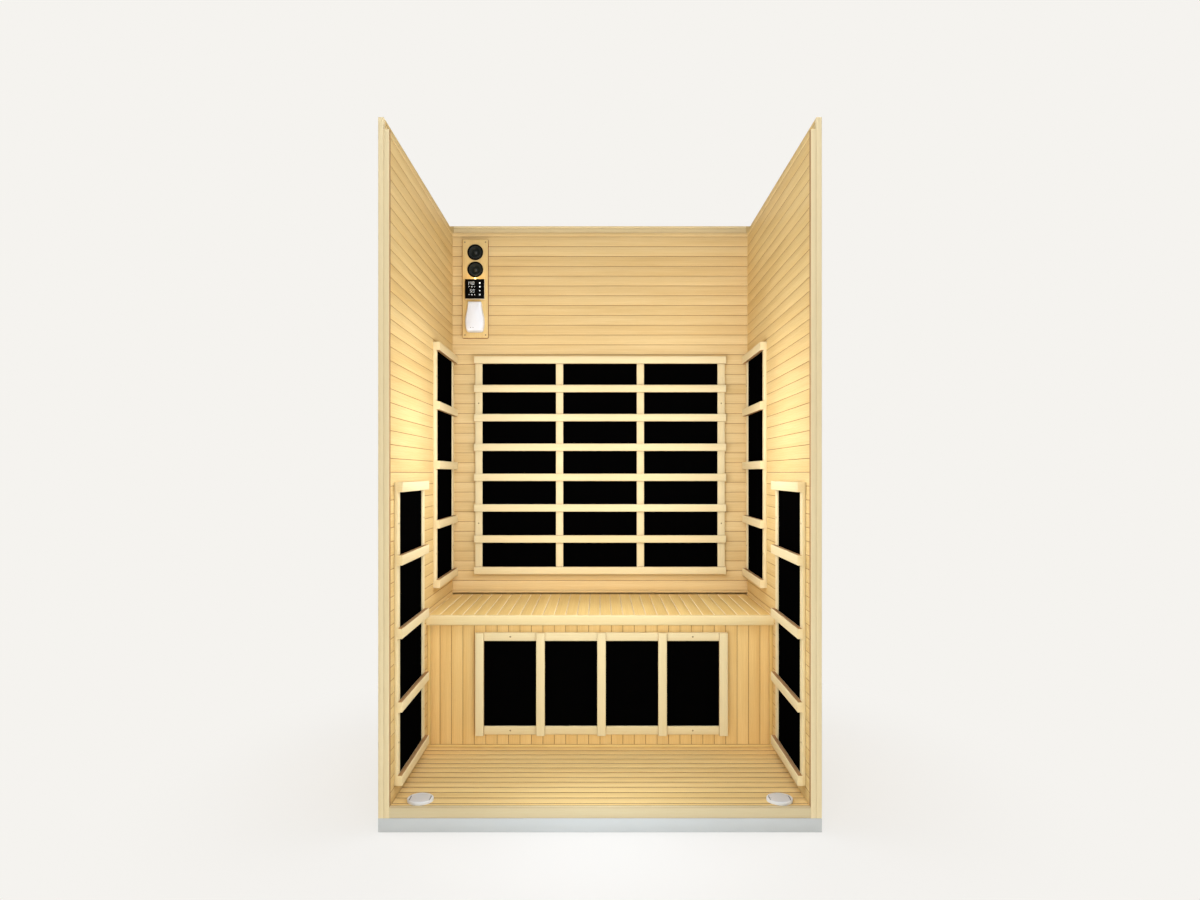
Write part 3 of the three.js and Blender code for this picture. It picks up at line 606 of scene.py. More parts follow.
def boarded(node, run, face, finish, first_joint, from_top=False, low=None, high=None, pitch=BOARD_PITCH,
            joint=BOARD_JOINT, ease=BOARD_EASE, sawn=BOARD_SAWN_AND_SHADE, rim=1.0, seed=1):
    """Boards of one pitch over a solid's box, with their first joint a given way from its low or high edge."""
    corners = [Vector(corner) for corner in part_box(node)]
    low, high = low or corners[0], high or corners[1]
    stack = "xyz".index(next(axis for axis in "xyz" if axis not in (run, face[1])))
    reach = high[stack] - low[stack]
    start = (reach - first_joint * MM) % pitch if from_top else first_joint * MM
    if start < ease * MM:
        start += pitch
    count = math.ceil((reach - start) / pitch - 0.01) + 1
    return boards(low, high, run, face, finish, first=start - pitch / 2, pitch=pitch,
                  width=pitch - joint, count=count, ease=ease, sawn=sawn, rim=rim, seed=seed)


def bar(node, run, face, finish, ease=1.5, sawn=(0.0, 0.0), seed=1):
    """One eased bar that fills a solid's box."""
    return boards(*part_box(node), run, face, finish, ease=ease, sawn=sawn, seed=seed)


FLOOR_FIRST_JOINT = 13.0
FLOOR_PITCH = 39.2 * MM
FLOOR_JOINT = 0.6 * MM
FLOOR_EASE = 2.2
floor = boarded("floor_boards", "x", "+z", FLOOR_WOOD, FLOOR_FIRST_JOINT, pitch=FLOOR_PITCH, joint=FLOOR_JOINT,
                ease=FLOOR_EASE, seed=3)
finished("floor_boards_laid", [floor], ["floor_boards"])
# The rail's eased edges are lightly browned: partly sawn tone, partly painted shade.
finished("floor_front_rail_eased", [bar("floor_front_rail", "x", "-y", RAIL_WOOD, sawn=(0.3, 0.0), seed=4)],
         ["floor_front_rail"])
print("floor laid")

# %% Side walls
LINING_FIRST_JOINT = 16.3
SKIN_FIRST_JOINT = 10.3
SKIN_FRONT_STRIP = 16 * MM
# The front post's narrow sides are painted dark brown: painted shade for the shadow on the post's inner side.
POST_PAINTED_SHADE = (0.15, 0.8)
# The skin's front strip has lightly browned edges: partly sawn tone, partly painted shade.
STRIP_SAWN_AND_SHADE = (0.15, 0.0)

for index, side in enumerate(SIDES):
    inward, outward = ("+x", "-x") if side == "left" else ("-x", "+x")
    lining = boarded(f"{side}_wall_lining", "y", inward, WALL_WOOD, LINING_FIRST_JOINT, True, seed=11 + index)
    finished(f"{side}_wall_lining_boards", [lining], [f"{side}_wall_lining"])
    low, high = map(Vector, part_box(f"{side}_wall_skin"))
    strip_high = Vector((high.x, low.y + SKIN_FRONT_STRIP, high.z))
    strip = boards(low, strip_high, "z", "-y", TRIM_WOOD, ease=1.0, sawn=STRIP_SAWN_AND_SHADE, seed=15 + index)
    behind = Vector((low.x, low.y + SKIN_FRONT_STRIP, low.z))
    skin = boarded(f"{side}_wall_skin", "y", outward, WALL_WOOD, SKIN_FIRST_JOINT, True, low=behind,
                   rim=0.0, seed=21 + index)
    finished(f"{side}_wall_skin_boards", [skin], [f"{side}_wall_skin"])
    finished(f"{side}_wall_front_edge", [strip], ())
    post = bar(f"{side}_front_post", "z", "-y", TRIM_WOOD, ease=1.0, sawn=POST_PAINTED_SHADE, seed=25 + index)
    finished(f"{side}_front_post_eased", [post], [f"{side}_front_post"])
print("side walls:", len(SIDES))

# %% Back wall
for index, side in enumerate(SIDES):
    post = with_grain(eased_copy(f"{side}_back_post", 1.2, WALL_WOOD), "z", "y", 0.6 + index, 0.4, sawn=0.0)
    finished(f"{side}_back_post_eased", [post], [f"{side}_back_post"])
for index, node in enumerate(("back_top_rail", "back_bottom_rail")):
    finished(node + "_eased", [bar(node, "x", "-y", WALL_WOOD, seed=35 + index)], [node])
low, high = map(Vector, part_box("back_wall_skin"))
roof_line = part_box("back_wall_lining")[1][2]
skin = boarded("back_wall_skin", "x", "+y", WALL_WOOD, 0.0, True, high=Vector((high.x, high.y, roof_line)),
               rim=0.0, seed=41)
finished("back_wall_skin_boards", [skin], ["back_wall_skin"])
# The skin's boards above the roof line take the paler rim finish: painted light on their shaded inner face.
rim = boarded("back_wall_skin", "x", "+y", RIM_WOOD, SKIN_FIRST_JOINT, True, low=Vector((low.x, low.y, roof_line)),
              rim=0.0, seed=42)
finished("back_wall_rim_boards", [rim], ())
# Four rows of the lining stop behind the control board, to clear the speakers that are let into the wall. A
# narrow slot stays open between the seat and the lining above it, so the seat can swell.
SPEAKER_ROWS = (2, 6)
SPEAKER_CUT_HALF = 34 * MM
SEAT_SLOT = 6 * MM
low, high = map(Vector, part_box("back_wall_lining"))
first_joint_z = high.z - LINING_FIRST_JOINT * MM
cut_top, cut_low = (first_joint_z - (row - 1) * BOARD_PITCH for row in SPEAKER_ROWS)
speaker_low, speaker_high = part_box("upper_speaker_frame")
speaker_x = (speaker_low[0] + speaker_high[0]) / 2
seat_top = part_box("bench_seat")[1][2]
slot_top = seat_top + SEAT_SLOT
LINING_AREAS = [
    (low, Vector((high.x, high.y, seat_top)), 0.0),
    (Vector((low.x, low.y, slot_top)), Vector((high.x, high.y, cut_low)), 0.0),
    (Vector((low.x, low.y, cut_low)), Vector((speaker_x - SPEAKER_CUT_HALF, high.y, cut_top)), 0.0),
    (Vector((speaker_x + SPEAKER_CUT_HALF, low.y, cut_low)), Vector((high.x, high.y, cut_top)), 0.0),
    (Vector((low.x, low.y, cut_top)), high, LINING_FIRST_JOINT),
]
rows = [boarded("back_wall_lining", "x", "-y", BACK_WOOD, joint, True, area_low, area_high, seed=43 + index)
        for index, (area_low, area_high, joint) in enumerate(LINING_AREAS)]
finished("back_wall_lining_boards", rows, ["back_wall_lining"])
print("back wall done")

# %% [markdown]
# ## The bench
#
# The seat is boards from front to back between the side walls, with a rounded nosing along its front edge.
# Under it a panel of upright boards closes the front, with thin trims at its foot and along both walls. Out
# of sight, three cleats screwed to the walls carry the seat.

# %% Bench
BENCH_PITCH = 37.8 * MM
SEAT_JOINT = 1.2 * MM
SEAT_EASE = 1.5
# The seat's eased edges are painted pale, a painted highlight; its sides keep the planed colour.
SEAT_PAINTED_HIGHLIGHT = (1.0, 0.0)


def bench_boards(node, run, face, finish, joint, ease, sawn, seed):
    """Boards over a solid of the bench, with one joint on the cabin's middle line."""
    first_joint = (-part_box(node)[0][0] % BENCH_PITCH) / MM
    return boarded(node, run, face, finish, first_joint, pitch=BENCH_PITCH, joint=joint, ease=ease, sawn=sawn,
                   seed=seed)


seat = bench_boards("bench_seat", "y", "+z", SEAT_WOOD, SEAT_JOINT, SEAT_EASE, SEAT_PAINTED_HIGHLIGHT, 51)
finished("bench_seat_boards", [seat], ["bench_seat"])
panel = bench_boards("bench_front_panel", "z", "-y", PANEL_WOOD, BOARD_JOINT, BOARD_EASE, BOARD_SAWN_AND_SHADE, 53)
finished("bench_front_boards", [panel], ["bench_front_panel"])
nosing = bar("bench_nosing", "x", "-y", NOSING_WOOD, ease=3.0, seed=55)
finished("bench_nosing_eased", [nosing], ["bench_nosing"])
BENCH_BARS = {
    "bench_bottom_trim": ("x", "-y"),
    "left_bench_trim": ("z", "-y"),
    "right_bench_trim": ("z", "-y"),
    "left_bench_cleat": ("y", "+z"),
    "right_bench_cleat": ("y", "+z"),
    "bench_rear_cleat": ("x", "+z"),
}
# The bench trims and cleats get browned edges and sides: partly sawn tone, partly painted shade for the shadow lines
# beside the trims.
BENCH_BAR_SAWN_AND_SHADE = (0.5, 0.6)
for seed, (node, (run, face)) in enumerate(BENCH_BARS.items(), 57):
    strip = bar(node, run, face, BENCH_WOOD, ease=1.0, sawn=BENCH_BAR_SAWN_AND_SHADE, seed=seed)
    finished(node + "_eased", [strip], [node])
print("bench:", len(BENCH_BARS) + 3, "pieces")

# %% [markdown]
# ## Heaters and their guards
#
# Each heater is a flat black panel against the wall. Its guard keeps hands off it: bars lie flat on the
# wall, and bars laid across them stand proud. The panels keep their solids and only get a finish, a matt
# black sheet with a faint weave. The guards are laid from bars by the same tree as the boards, once for
# the bars on the wall and once for the bars across.

# %% Heater panels
def heater_sheet(name):
    """Matt black heating sheet: a fine square weave that shows only where light grazes it."""
    material, maker = new_material(name, specular_ior_level=0.0)
    place = maker.node("ShaderNodeTexCoord", out="Object")
    threads = [
        maker.node("ShaderNodeTexWave", {"bands_direction": axis}, {"Vector": place, "Scale": 160.0}, out="Fac")
        for axis in "XYZ"
    ]
    weave = (threads[0] + threads[1] + threads[2]) / 3
    dust = maker.noise(place, 14.0, detail=4.0)
    feed(maker, base_color=maker.mix(weave * 0.5 + dust * 0.5, opaque((0.0004, 0.0004, 0.0004)),
                                     opaque((0.0012, 0.0011, 0.0010))))
    feed(maker, roughness=0.68 + dust * 0.2)
    feed(maker, normal=maker.bump(weave, 0.2, 0.0003))
    return material


HEATER_BLACK = heater_sheet("heater_black")
HEATERS = [f"{side}_{place}" for side in SIDES for place in ("front", "rear")] + ["back", "calf"]
for heater in HEATERS:
    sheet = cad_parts[heater + "_heater_panel"]
    sheet.data.materials.clear()
    sheet.data.materials.append(HEATER_BLACK)
print("heater panels:", len(HEATERS))

# %% Guards
GUARD_BAR = 28 * MM
GUARD_UNDER = 10 * MM
GUARD_LAP = 1 * MM
GUARD_OVERHANG = 2 * MM
GUARD_LIFT = 6 * MM
GUARD_EASE = 1.6
# The sides of the raised guard bars are painted dark brown: painted shade for the shadow between the bars and the
# black heater.
GUARD_PAINTED_SHADE = (0.0, 0.8)


def slab(low, high, face, start, end):
    """The part of a box between two depths, measured from its back towards the face that it shows."""
    low, high = Vector(low), Vector(high)
    axis = "xyz".index(face[1])
    if face[0] == "+":
        high[axis], low[axis] = low[axis] + end, low[axis] + start
    else:
        low[axis], high[axis] = high[axis] - end, high[axis] - start
    return low, high


def inset(box, axis, amount):
    """A box drawn in at both ends of one axis."""
    low, high = box
    step = AXES[axis] * amount
    return low + step, high - step


def guard(name, face, under_run, over_run, over_count, growth=0.0, inner=0, overhang=GUARD_OVERHANG, seed=1):
    """Bars flat on the wall with bars laid across them, inside the box of the guard's solid."""
    node = name + "_heater_guard"
    low, high = map(Vector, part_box(node))
    proud = abs((high - low)["xyz".index(face[1])])
    under_box = inset(slab(low, high, face, 0.0, GUARD_UNDER), over_run, overhang)
    reach = (under_box[1] - under_box[0])["xyz".index(over_run)]
    pitch = reach - GUARD_BAR
    bars = [boards(*under_box, under_run, face, GUARD_WOOD, first=GUARD_BAR / 2, pitch=pitch, width=GUARD_BAR,
                   count=2, ease=GUARD_EASE, seed=seed)]
    if inner:
        lifted = inset(slab(low, high, face, GUARD_LIFT, GUARD_UNDER), over_run, overhang)
        step = pitch / (inner + 1)
        bars.append(boards(*lifted, under_run, face, GUARD_WOOD, first=GUARD_BAR / 2 + step, pitch=step,
                           width=GUARD_BAR, count=inner, ease=GUARD_EASE, sawn=GUARD_PAINTED_SHADE, seed=seed + 1))
    height = (high - low)["xyz".index(under_run)]
    gaps = over_count - 1
    over_pitch = (height - GUARD_BAR - growth * gaps * (gaps - 1) / 2) / gaps
    over_box = slab(low, high, face, GUARD_UNDER - GUARD_LAP, proud)
    bars.append(boards(*over_box, over_run, face, GUARD_WOOD, first=GUARD_BAR / 2, pitch=over_pitch, growth=growth,
                       width=GUARD_BAR, count=over_count, ease=GUARD_EASE, sawn=GUARD_PAINTED_SHADE, seed=seed + 2))
    return finished(name + "_guard_bars", bars, [node])


SIDE_GUARD_RAILS = 5
BACK_GUARD_RAILS = 8
BACK_GUARD_GROWTH = -1.9 * MM
CALF_GUARD_STILES = 5
for index, side in enumerate(SIDES):
    for place in ("front", "rear"):
        guard(f"{side}_{place}", "+x" if side == "left" else "-x", "z", "y", SIDE_GUARD_RAILS,
              seed=70 + 10 * index + (5 if place == "rear" else 0))
guard("back", "-y", "z", "x", BACK_GUARD_RAILS, growth=BACK_GUARD_GROWTH, inner=2, seed=91)
guard("calf", "-y", "x", "z", CALF_GUARD_STILES, overhang=0.0, seed=95)
print("guards:", len(HEATERS))

# %% [markdown]
# ## Plastics, glass and metal
#
# The small parts are moulded black or white plastic, glass and plated steel. Even a plain moulded part is
# not one flat colour: it has a fine grain from its mould, slight clouding and a sheen that varies, and metal
# has brushed lines. Each finish below is one short recipe on Object coordinates.

# %% Small finishes
def moulded(name, colour, shade, roughness, grain_size=700.0, specular=0.5):
    """Moulded plastic: faint clouding and the fine grain of the mould."""
    material, maker = new_material(name, specular_ior_level=specular)
    place = maker.node("ShaderNodeTexCoord", out="Object")
    clouds = maker.noise(place, 25.0, detail=3.0)
    grains = maker.noise(place, grain_size, detail=1.0)
    feed(maker, base_color=maker.mix(clouds * 0.7 + grains * 0.3, opaque(colour), opaque(shade)))
    feed(maker, roughness=roughness - 0.08 + clouds * 0.16)
    feed(maker, normal=maker.bump(grains, 0.12, 0.0002))
    return material


def plated(name, colour, shade, roughness):
    """Plated steel with fine brushed lines and cloudy wear."""
    material, maker = new_material(name, metallic=1.0)
    place = maker.node("ShaderNodeTexCoord", out="Object")
    brushed = maker.noise(maker.stretch(place, (900.0, 900.0, 60.0)), 1.0, detail=2.0)
    wear = maker.noise(place, 120.0, detail=4.0)
    feed(maker, base_color=maker.mix(brushed * 0.5 + wear * 0.5, opaque(colour), opaque(shade)))
    feed(maker, roughness=roughness - 0.1 + wear * 0.2)
    feed(maker, normal=maker.bump(brushed, 0.1, 0.0002))
    return material


def glowing(name, colour, shade, strength):
    """A lit lens or figure: a slightly uneven glow."""
    material, maker = new_material(name, roughness=0.3, emission_strength=strength)
    place = maker.node("ShaderNodeTexCoord", out="Object")
    uneven = maker.mix(maker.noise(place, 300.0), opaque(colour), opaque(shade))
    feed(maker, base_color=uneven)
    feed(maker, emission_color=uneven)
    return material


SPEAKER_BLACK = moulded("speaker_moulding", (0.002, 0.002, 0.002), (0.004, 0.004, 0.003), 0.4, specular=0.04)
CONE_PAPER = moulded("cone_paper_pressed", (0.010, 0.013, 0.011), (0.017, 0.021, 0.018), 0.3, 1500.0, 0.25)
CASE_PALE = moulded("case_moulding", (0.95, 0.85, 0.68), (0.86, 0.77, 0.60), 0.45)
WHITE_PLASTIC = moulded("white_moulding", (0.84, 0.87, 0.90), (0.77, 0.80, 0.83), 0.4)
RING_WHITE = moulded("ring_moulding", (0.80, 0.80, 0.78), (0.73, 0.73, 0.71), 0.4)
LENS_GREY = moulded("lens_moulding", (0.72, 0.72, 0.70), (0.65, 0.65, 0.63), 0.3)
# Dark moulding for the ioniser's windows, also used as painted shade in the slits of the floor lights.
DARK_WINDOW_AND_SHADE = moulded("dark_window_and_shade", (0.02, 0.02, 0.02), (0.04, 0.04, 0.04), 0.3)
DISPLAY_GLASS = moulded("black_glass", (0.001, 0.001, 0.001), (0.003, 0.003, 0.003), 0.12, 90.0, 0.02)
LATCH_STEEL = plated("latch_plating", (0.62, 0.61, 0.58), (0.48, 0.47, 0.45), 0.34)
SCREW_BRONZE = plated("screw_bronze", (0.34, 0.23, 0.12), (0.24, 0.16, 0.08), 0.4)
LAMP_GLOW = glowing("lamp_glow", (1.0, 0.78, 0.36), (1.0, 0.70, 0.28), 3.0)
FIGURE_GLOW = glowing("figure_glow", (0.86, 0.90, 0.92), (0.74, 0.79, 0.82), 0.45)
print("small finishes ready")

# %% [markdown]
# ## The control board
#
# High on the left of the back wall, a wooden board carries two small speakers, a reading lamp, a touch
# display and an ioniser. The board is a copy of its solid with eased edges. Each speaker is two pieces,
# because the cone moves: a basket with its rim on the wall side, and a cone with a rolled surround, pressed
# rings and a domed cap.

# %% Board and speakers
# The board's eased edges and sides get the full brown mark: painted shade for the shadow line round the board, with
# some sawn tone.
board = with_grain(eased_copy("control_board", 2.4, WALL_WOOD), "z", "y", 0.37, 0.35)
finished("control_board_eased", [board], ["control_board"])
BOARD_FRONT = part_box("control_board")[0][1]


def box_middle(node):
    low, high = map(Vector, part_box(node))
    return (low + high) / 2


def roll(inner, outer, base, rise, steps=6):
    """A rounded ridge between two radii, as pairs of radius and height."""
    span = outer - inner
    return [(inner + span * (1 - math.cos(math.pi * step / steps)) / 2, base + rise * math.sin(math.pi * step / steps))
            for step in range(steps + 1)]


SPEAKER_BASKET = [(0, -32), (17, -32), (17, -24), (24.4, -11.5), (26, -10.5), (26, 0), (30.5, 0), (30.5, 1.9),
                  (30.2, 2.6), (29.5, 3), (27.2, 3), (26.3, 2.7), (25.6, 1.9), (25, 0.8), (25, -10), (23.4, -11),
                  (16, -23), (7, -23), (7, -14.5), (0, -14.5)]
CONE_FACE = [(19.6, -2.4), (18.2, -3.6), (17.9, -3.5), (15.6, -5.7), (15.3, -5.5), (13.2, -7.8), (12.9, -7.6),
             (10.9, -10.2), (10.6, -9.8), (9.9, -8.4), (8.4, -6.7), (6.2, -5.3), (3.2, -4.5), (0, -4.2)]
CONE_BACK = [(0, -11.8), (7.3, -11.8), (7.3, -20.3), (8.5, -20.3), (8.5, -13), (19.4, -4.2), (24.4, -2.8)]
for name in ("upper", "lower"):
    middle = box_middle(f"{name}_speaker_frame")
    middle.y = BOARD_FRONT
    basket = turned(SPEAKER_BASKET, middle, "-y", SPEAKER_BLACK)
    finished(f"{name}_speaker_basket", [basket], [f"{name}_speaker_frame"])
    surround = roll(24.4, 20.0, -1.6, 1.9)
    cone = turned(CONE_BACK + surround + CONE_FACE, middle, "-y", CONE_PAPER)
    finished(f"{name}_speaker_cone_pressed", [cone], [f"{name}_speaker_cone"], f"{name}_speaker_cone")
print("speakers at", [round(value, 4) for value in box_middle("upper_speaker_frame")])

# %% Reading lamp
LAMP_SECTION = [(0, 0), (4, 0), (4, 3.6), (3.9, 4.4), (3.55, 5.3), (2.9, 6.1), (2.0, 6.7), (1.0, 6.95), (0, 7)]
LAMP_COLLAR = [(0, 0), (4.9, 0), (4.9, 1.1), (4.6, 1.5), (4.05, 1.5), (4.05, 0.4), (0, 0.4)]
lamp_place = box_middle("reading_lamp")
lamp_place.y = BOARD_FRONT
dome = turned(LAMP_SECTION, lamp_place, "-y", LAMP_GLOW, sides=40)
finished("reading_lamp_dome", [dome], ["reading_lamp"])
collar = turned(LAMP_COLLAR, lamp_place, "-y", SCREW_BRONZE, sides=40)
finished("reading_lamp_collar", [collar], ())
print("reading lamp at", [round(value, 4) for value in lamp_place])

# %% [markdown]
# The display is a pale case under a sheet of black glass. Its figures light up behind the glass, so they
# are thin plates just on the glass that glow. Numbers could be typed as text, but a real display draws them
# from seven strokes, and so does the cell below: each digit lists the strokes that are lit.

# %% Display
GLASS_RIM = 0.4 * MM
GLASS_DEPTH = 1.4 * MM
low, high = map(Vector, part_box("display_case"))
case = boards(Vector((low.x, low.y + GLASS_DEPTH, low.z)), high, "z", "-y", CASE_PALE, ease=1.5)
finished("display_case_moulded", [case], ["display_case"])
glass_low = Vector((low.x + GLASS_RIM, low.y, low.z + GLASS_RIM))
glass_high = Vector((high.x - GLASS_RIM, low.y + GLASS_DEPTH, high.z - GLASS_RIM))
glass = boards(glass_low, glass_high, "z", "-y", DISPLAY_GLASS, ease=0.4)
finished("display_glass_sheet", [glass], ["display_glass"])

STROKES = {"a": (0, 1, 1, 1), "b": (1, 1, 1, 0.5), "c": (1, 0.5, 1, 0), "d": (0, 0, 1, 0), "e": (0, 0.5, 0, 0),
           "f": (0, 1, 0, 0.5), "g": (0, 0.5, 1, 0.5)}
LIT = {"0": "abcdef", "1": "bc", "4": "bcfg", "5": "acdfg", "9": "abcdfg"}
DIGIT_WIDTH = 5.4
DIGIT_HEIGHT = 11.0
DIGIT_STEP = 10.2
STROKE = 0.7
SLANT = 0.1


def digit(character, x, z):
    """The lit strokes of one digit, as outlines about the middle of the display."""
    outlines = []
    for name in LIT[character]:
        x0, z0, x1, z1 = STROKES[name]
        left, right = sorted((x0 * DIGIT_WIDTH, x1 * DIGIT_WIDTH))
        low, high = sorted((z0 * DIGIT_HEIGHT, z1 * DIGIT_HEIGHT))
        half = STROKE / 2
        corners = [(left - half, low - half), (right + half, low - half), (right + half, high + half),
                   (left - half, high + half)]
        outlines.append([(x + u + SLANT * v, z + v) for u, v in corners])
    return outlines


def icon(kind, x, z, size):
    """One plain sign: an arrow up or down, a ring-like diamond, a square or two bars."""
    half = size / 2
    third = size / 3
    shapes = {
        "up": [[(-half, -half * 0.6), (half, -half * 0.6), (0, half * 0.7)]],
        "down": [[(-half, half * 0.6), (0, -half * 0.7), (half, half * 0.6)]],
        "diamond": [[(0, -half), (half, 0), (0, half), (-half, 0)]],
        "square": [[(-half, -half), (half, -half), (half, half), (-half, half)]],
        "bars": [[(-half, -half), (-half + third, -half), (-half + third, half), (-half, half)],
                 [(half - third, -half), (half, -half), (half, half), (half - third, half)]],
    }
    return [[(x + u, z + v) for u, v in outline] for outline in shapes[kind]]


NUMBERS = [("140", -28.4, 16.0), ("59", -17.7, -13.2)]
SIGN_COLUMNS = (-21.2, -10.4, 0.4)
SIGN_ROWS = {8.0: ("down", "diamond", "up"), -22.0: ("down", "bars", "up")}
SIDE_SIGNS = {22.5: "square", 8.0: "square", -6.9: "diamond", -22.0: "bars"}
SIDE_COLUMN = 20.1
SIGN_SIZE = 4.2
SIDE_SIGN_SIZE = 5.2
outlines = []
for text, x, z in NUMBERS:
    for place, character in enumerate(text):
        outlines += digit(character, x + place * DIGIT_STEP, z)
for z, kinds in SIGN_ROWS.items():
    for x, kind in zip(SIGN_COLUMNS, kinds):
        outlines += icon(kind, x, z, SIGN_SIZE)
for z, kind in SIDE_SIGNS.items():
    outlines += icon(kind, SIDE_COLUMN, z, SIDE_SIGN_SIZE)

FIGURE_PROUD = 0.08 * MM
work = bmesh.new()
centre = box_middle("display_glass")
for outline in outlines:
    rings = [[work.verts.new((centre.x + u * MM, low.y - proud, centre.z + v * MM)) for u, v in outline]
             for proud in (0.0, FIGURE_PROUD)]
    work.faces.new(rings[1])
    work.faces.new(rings[0][::-1])
    for start in range(len(outline)):
        end = (start + 1) % len(outline)
        work.faces.new((rings[0][start], rings[0][end], rings[1][end], rings[1][start]))
figures = bpy.data.meshes.new("figures")
work.to_mesh(figures)
work.free()
finished("display_figures", [figures], (), finish=FIGURE_GLOW)
print("display:", len(outlines), "lit shapes")

# %% [markdown]
# The ioniser is a white moulded case like a small bottle, narrow at the top and wide lower down, with a
# crowned front. Its outline is drawn once and stacked in layers that draw in towards the front, which is
# how a moulded crown looks. Two small dark windows near its foot sit on the crown at a given depth.

# %% Ioniser
IONISER_SIDE = [(0.0, 0.0), (0.54, 0.0), (0.73, 0.012), (0.86, 0.055), (0.945, 0.15), (1.0, 0.34), (0.95, 0.5),
                (0.835, 0.68), (0.74, 0.85), (0.716, 0.95), (0.67, 0.988), (0.57, 1.0), (0.0, 1.0)]
IONISER_LAYERS = [(0.6, 0.0), (0.0, 1.2), (0.0, 15.0), (0.5, 18.5), (1.5, 21.7), (3.0, 24.4), (5.0, 26.4), (7.4, 27.6)]
IONISER_CROWN = 0.4
IONISER_STEPS = 6


def rounded_path(points, steps):
    """A smooth path through points, by cubic pieces whose slopes follow the neighbouring points."""
    path = []
    for index in range(len(points) - 1):
        before = points[max(index - 1, 0)]
        start, end = points[index], points[index + 1]
        after = points[min(index + 2, len(points) - 1)]
        for step in range(steps):
            t = step / steps
            path.append(tuple(
                0.5 * (2 * start[i] + (end[i] - before[i]) * t
                       + (2 * before[i] - 5 * start[i] + 4 * end[i] - after[i]) * t * t
                       + (3 * start[i] - before[i] - 3 * end[i] + after[i]) * t ** 3)
                for i in range(2)
            ))
    return path


def drawn_in(outline, amount, half_width, height):
    """An outline made smaller about its middle by an amount on each side."""
    across, up = 1 - amount / half_width, 1 - 2 * amount / height
    return [(x * across, height / 2 + (z - height / 2) * up) for x, z in outline]


low, high = map(Vector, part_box("ioniser_case"))
half_width, height = (high.x - low.x) / 2 / MM, (high.z - low.z) / MM
right_side = [(x * half_width, z * height) for x, z in rounded_path(IONISER_SIDE, IONISER_STEPS)]
right_side = [point for point in right_side if point[0] > 0.01 * half_width]
outline = right_side + [(-x, z) for x, z in reversed(right_side)]
base = Vector(((low.x + high.x) / 2, high.y, low.z))
work = bmesh.new()
layers = []
for amount, depth in IONISER_LAYERS:
    layer = drawn_in(outline, amount, half_width, height)
    layers.append([work.verts.new(base + Vector((x, -depth, z)) * MM) for x, z in layer])
for first, second in zip(layers, layers[1:]):
    for start in range(len(outline)):
        end = (start + 1) % len(outline)
        work.faces.new((first[start], first[end], second[end], second[start]))
ends = [work.faces.new(layers[0][::-1]), work.faces.new(layers[-1])]
bmesh.ops.recalc_face_normals(work, faces=work.faces)
bmesh.ops.poke(work, faces=ends[1:], offset=IONISER_CROWN * MM)
case = bpy.data.meshes.new("ioniser")
work.to_mesh(case)
work.free()
finished("ioniser_case_moulded", [shaded(case, 50)], ["ioniser_case"], finish=WHITE_PLASTIC)

WINDOW_PLACES = [(-13.8, 15.4), (-4.6, 15.4)]
WINDOW_SECTION = [(0, -1.0), (1.5, -1.0), (1.5, 0.15), (1.3, 0.3), (0, 0.3)]
windows = [turned(WINDOW_SECTION, base + Vector((x, -27.8, z)) * MM, "-y", DARK_WINDOW_AND_SHADE, sides=24)
           for x, z in WINDOW_PLACES]
finished("ioniser_windows", windows, ())
print("ioniser:", len(outline), "points round")

# %% [markdown]
# ## Push lights in the floor
#
# In each front corner of the floor lies a low round light. Its white body is turned, and its lens has two
# straight sides, with a slit along each. A dark cup lines the slits: painted shade for the shadow down in
# them. The lens is pressed down to switch the light, so it is a piece of its own that rides on its own body.

# %% Floor lights
LIGHT_RADIUS = 36.0
LIGHT_HEIGHT = 8.0
WELL_RADIUS = 33.0
WELL_HALF = 29.3
LENS_RADIUS = 32.7
LENS_HALF = 26.6


def straight_sided(radius, half):
    """A round outline cut straight at half a width either side, as a radius that follows the angle."""
    return lambda angle: min(radius, half / max(abs(math.cos(angle)), 1e-6))


LIGHT_BODY = [(0, 0), (LIGHT_RADIUS, 0), (LIGHT_RADIUS, 5.9), (LIGHT_RADIUS - 0.3, 6.9), (LIGHT_RADIUS - 0.9, 7.6),
              (LIGHT_RADIUS - 1.8, LIGHT_HEIGHT), (straight_sided(WELL_RADIUS + 0.4, WELL_HALF + 0.4), LIGHT_HEIGHT),
              (straight_sided(WELL_RADIUS, WELL_HALF), 7.6), (straight_sided(WELL_RADIUS, WELL_HALF), 1.5), (0, 1.5)]
LENS_SECTION = [(0, 3.7), (straight_sided(LENS_RADIUS, LENS_HALF), 3.7), (straight_sided(LENS_RADIUS, LENS_HALF), 7.0),
                (straight_sided(LENS_RADIUS - 0.3, LENS_HALF - 0.3), 7.4),
                (straight_sided(LENS_RADIUS - 1.0, LENS_HALF - 1.0), 7.6),
                (straight_sided(LENS_RADIUS * 0.6, LENS_HALF * 0.6), 7.7), (0, 7.7)]
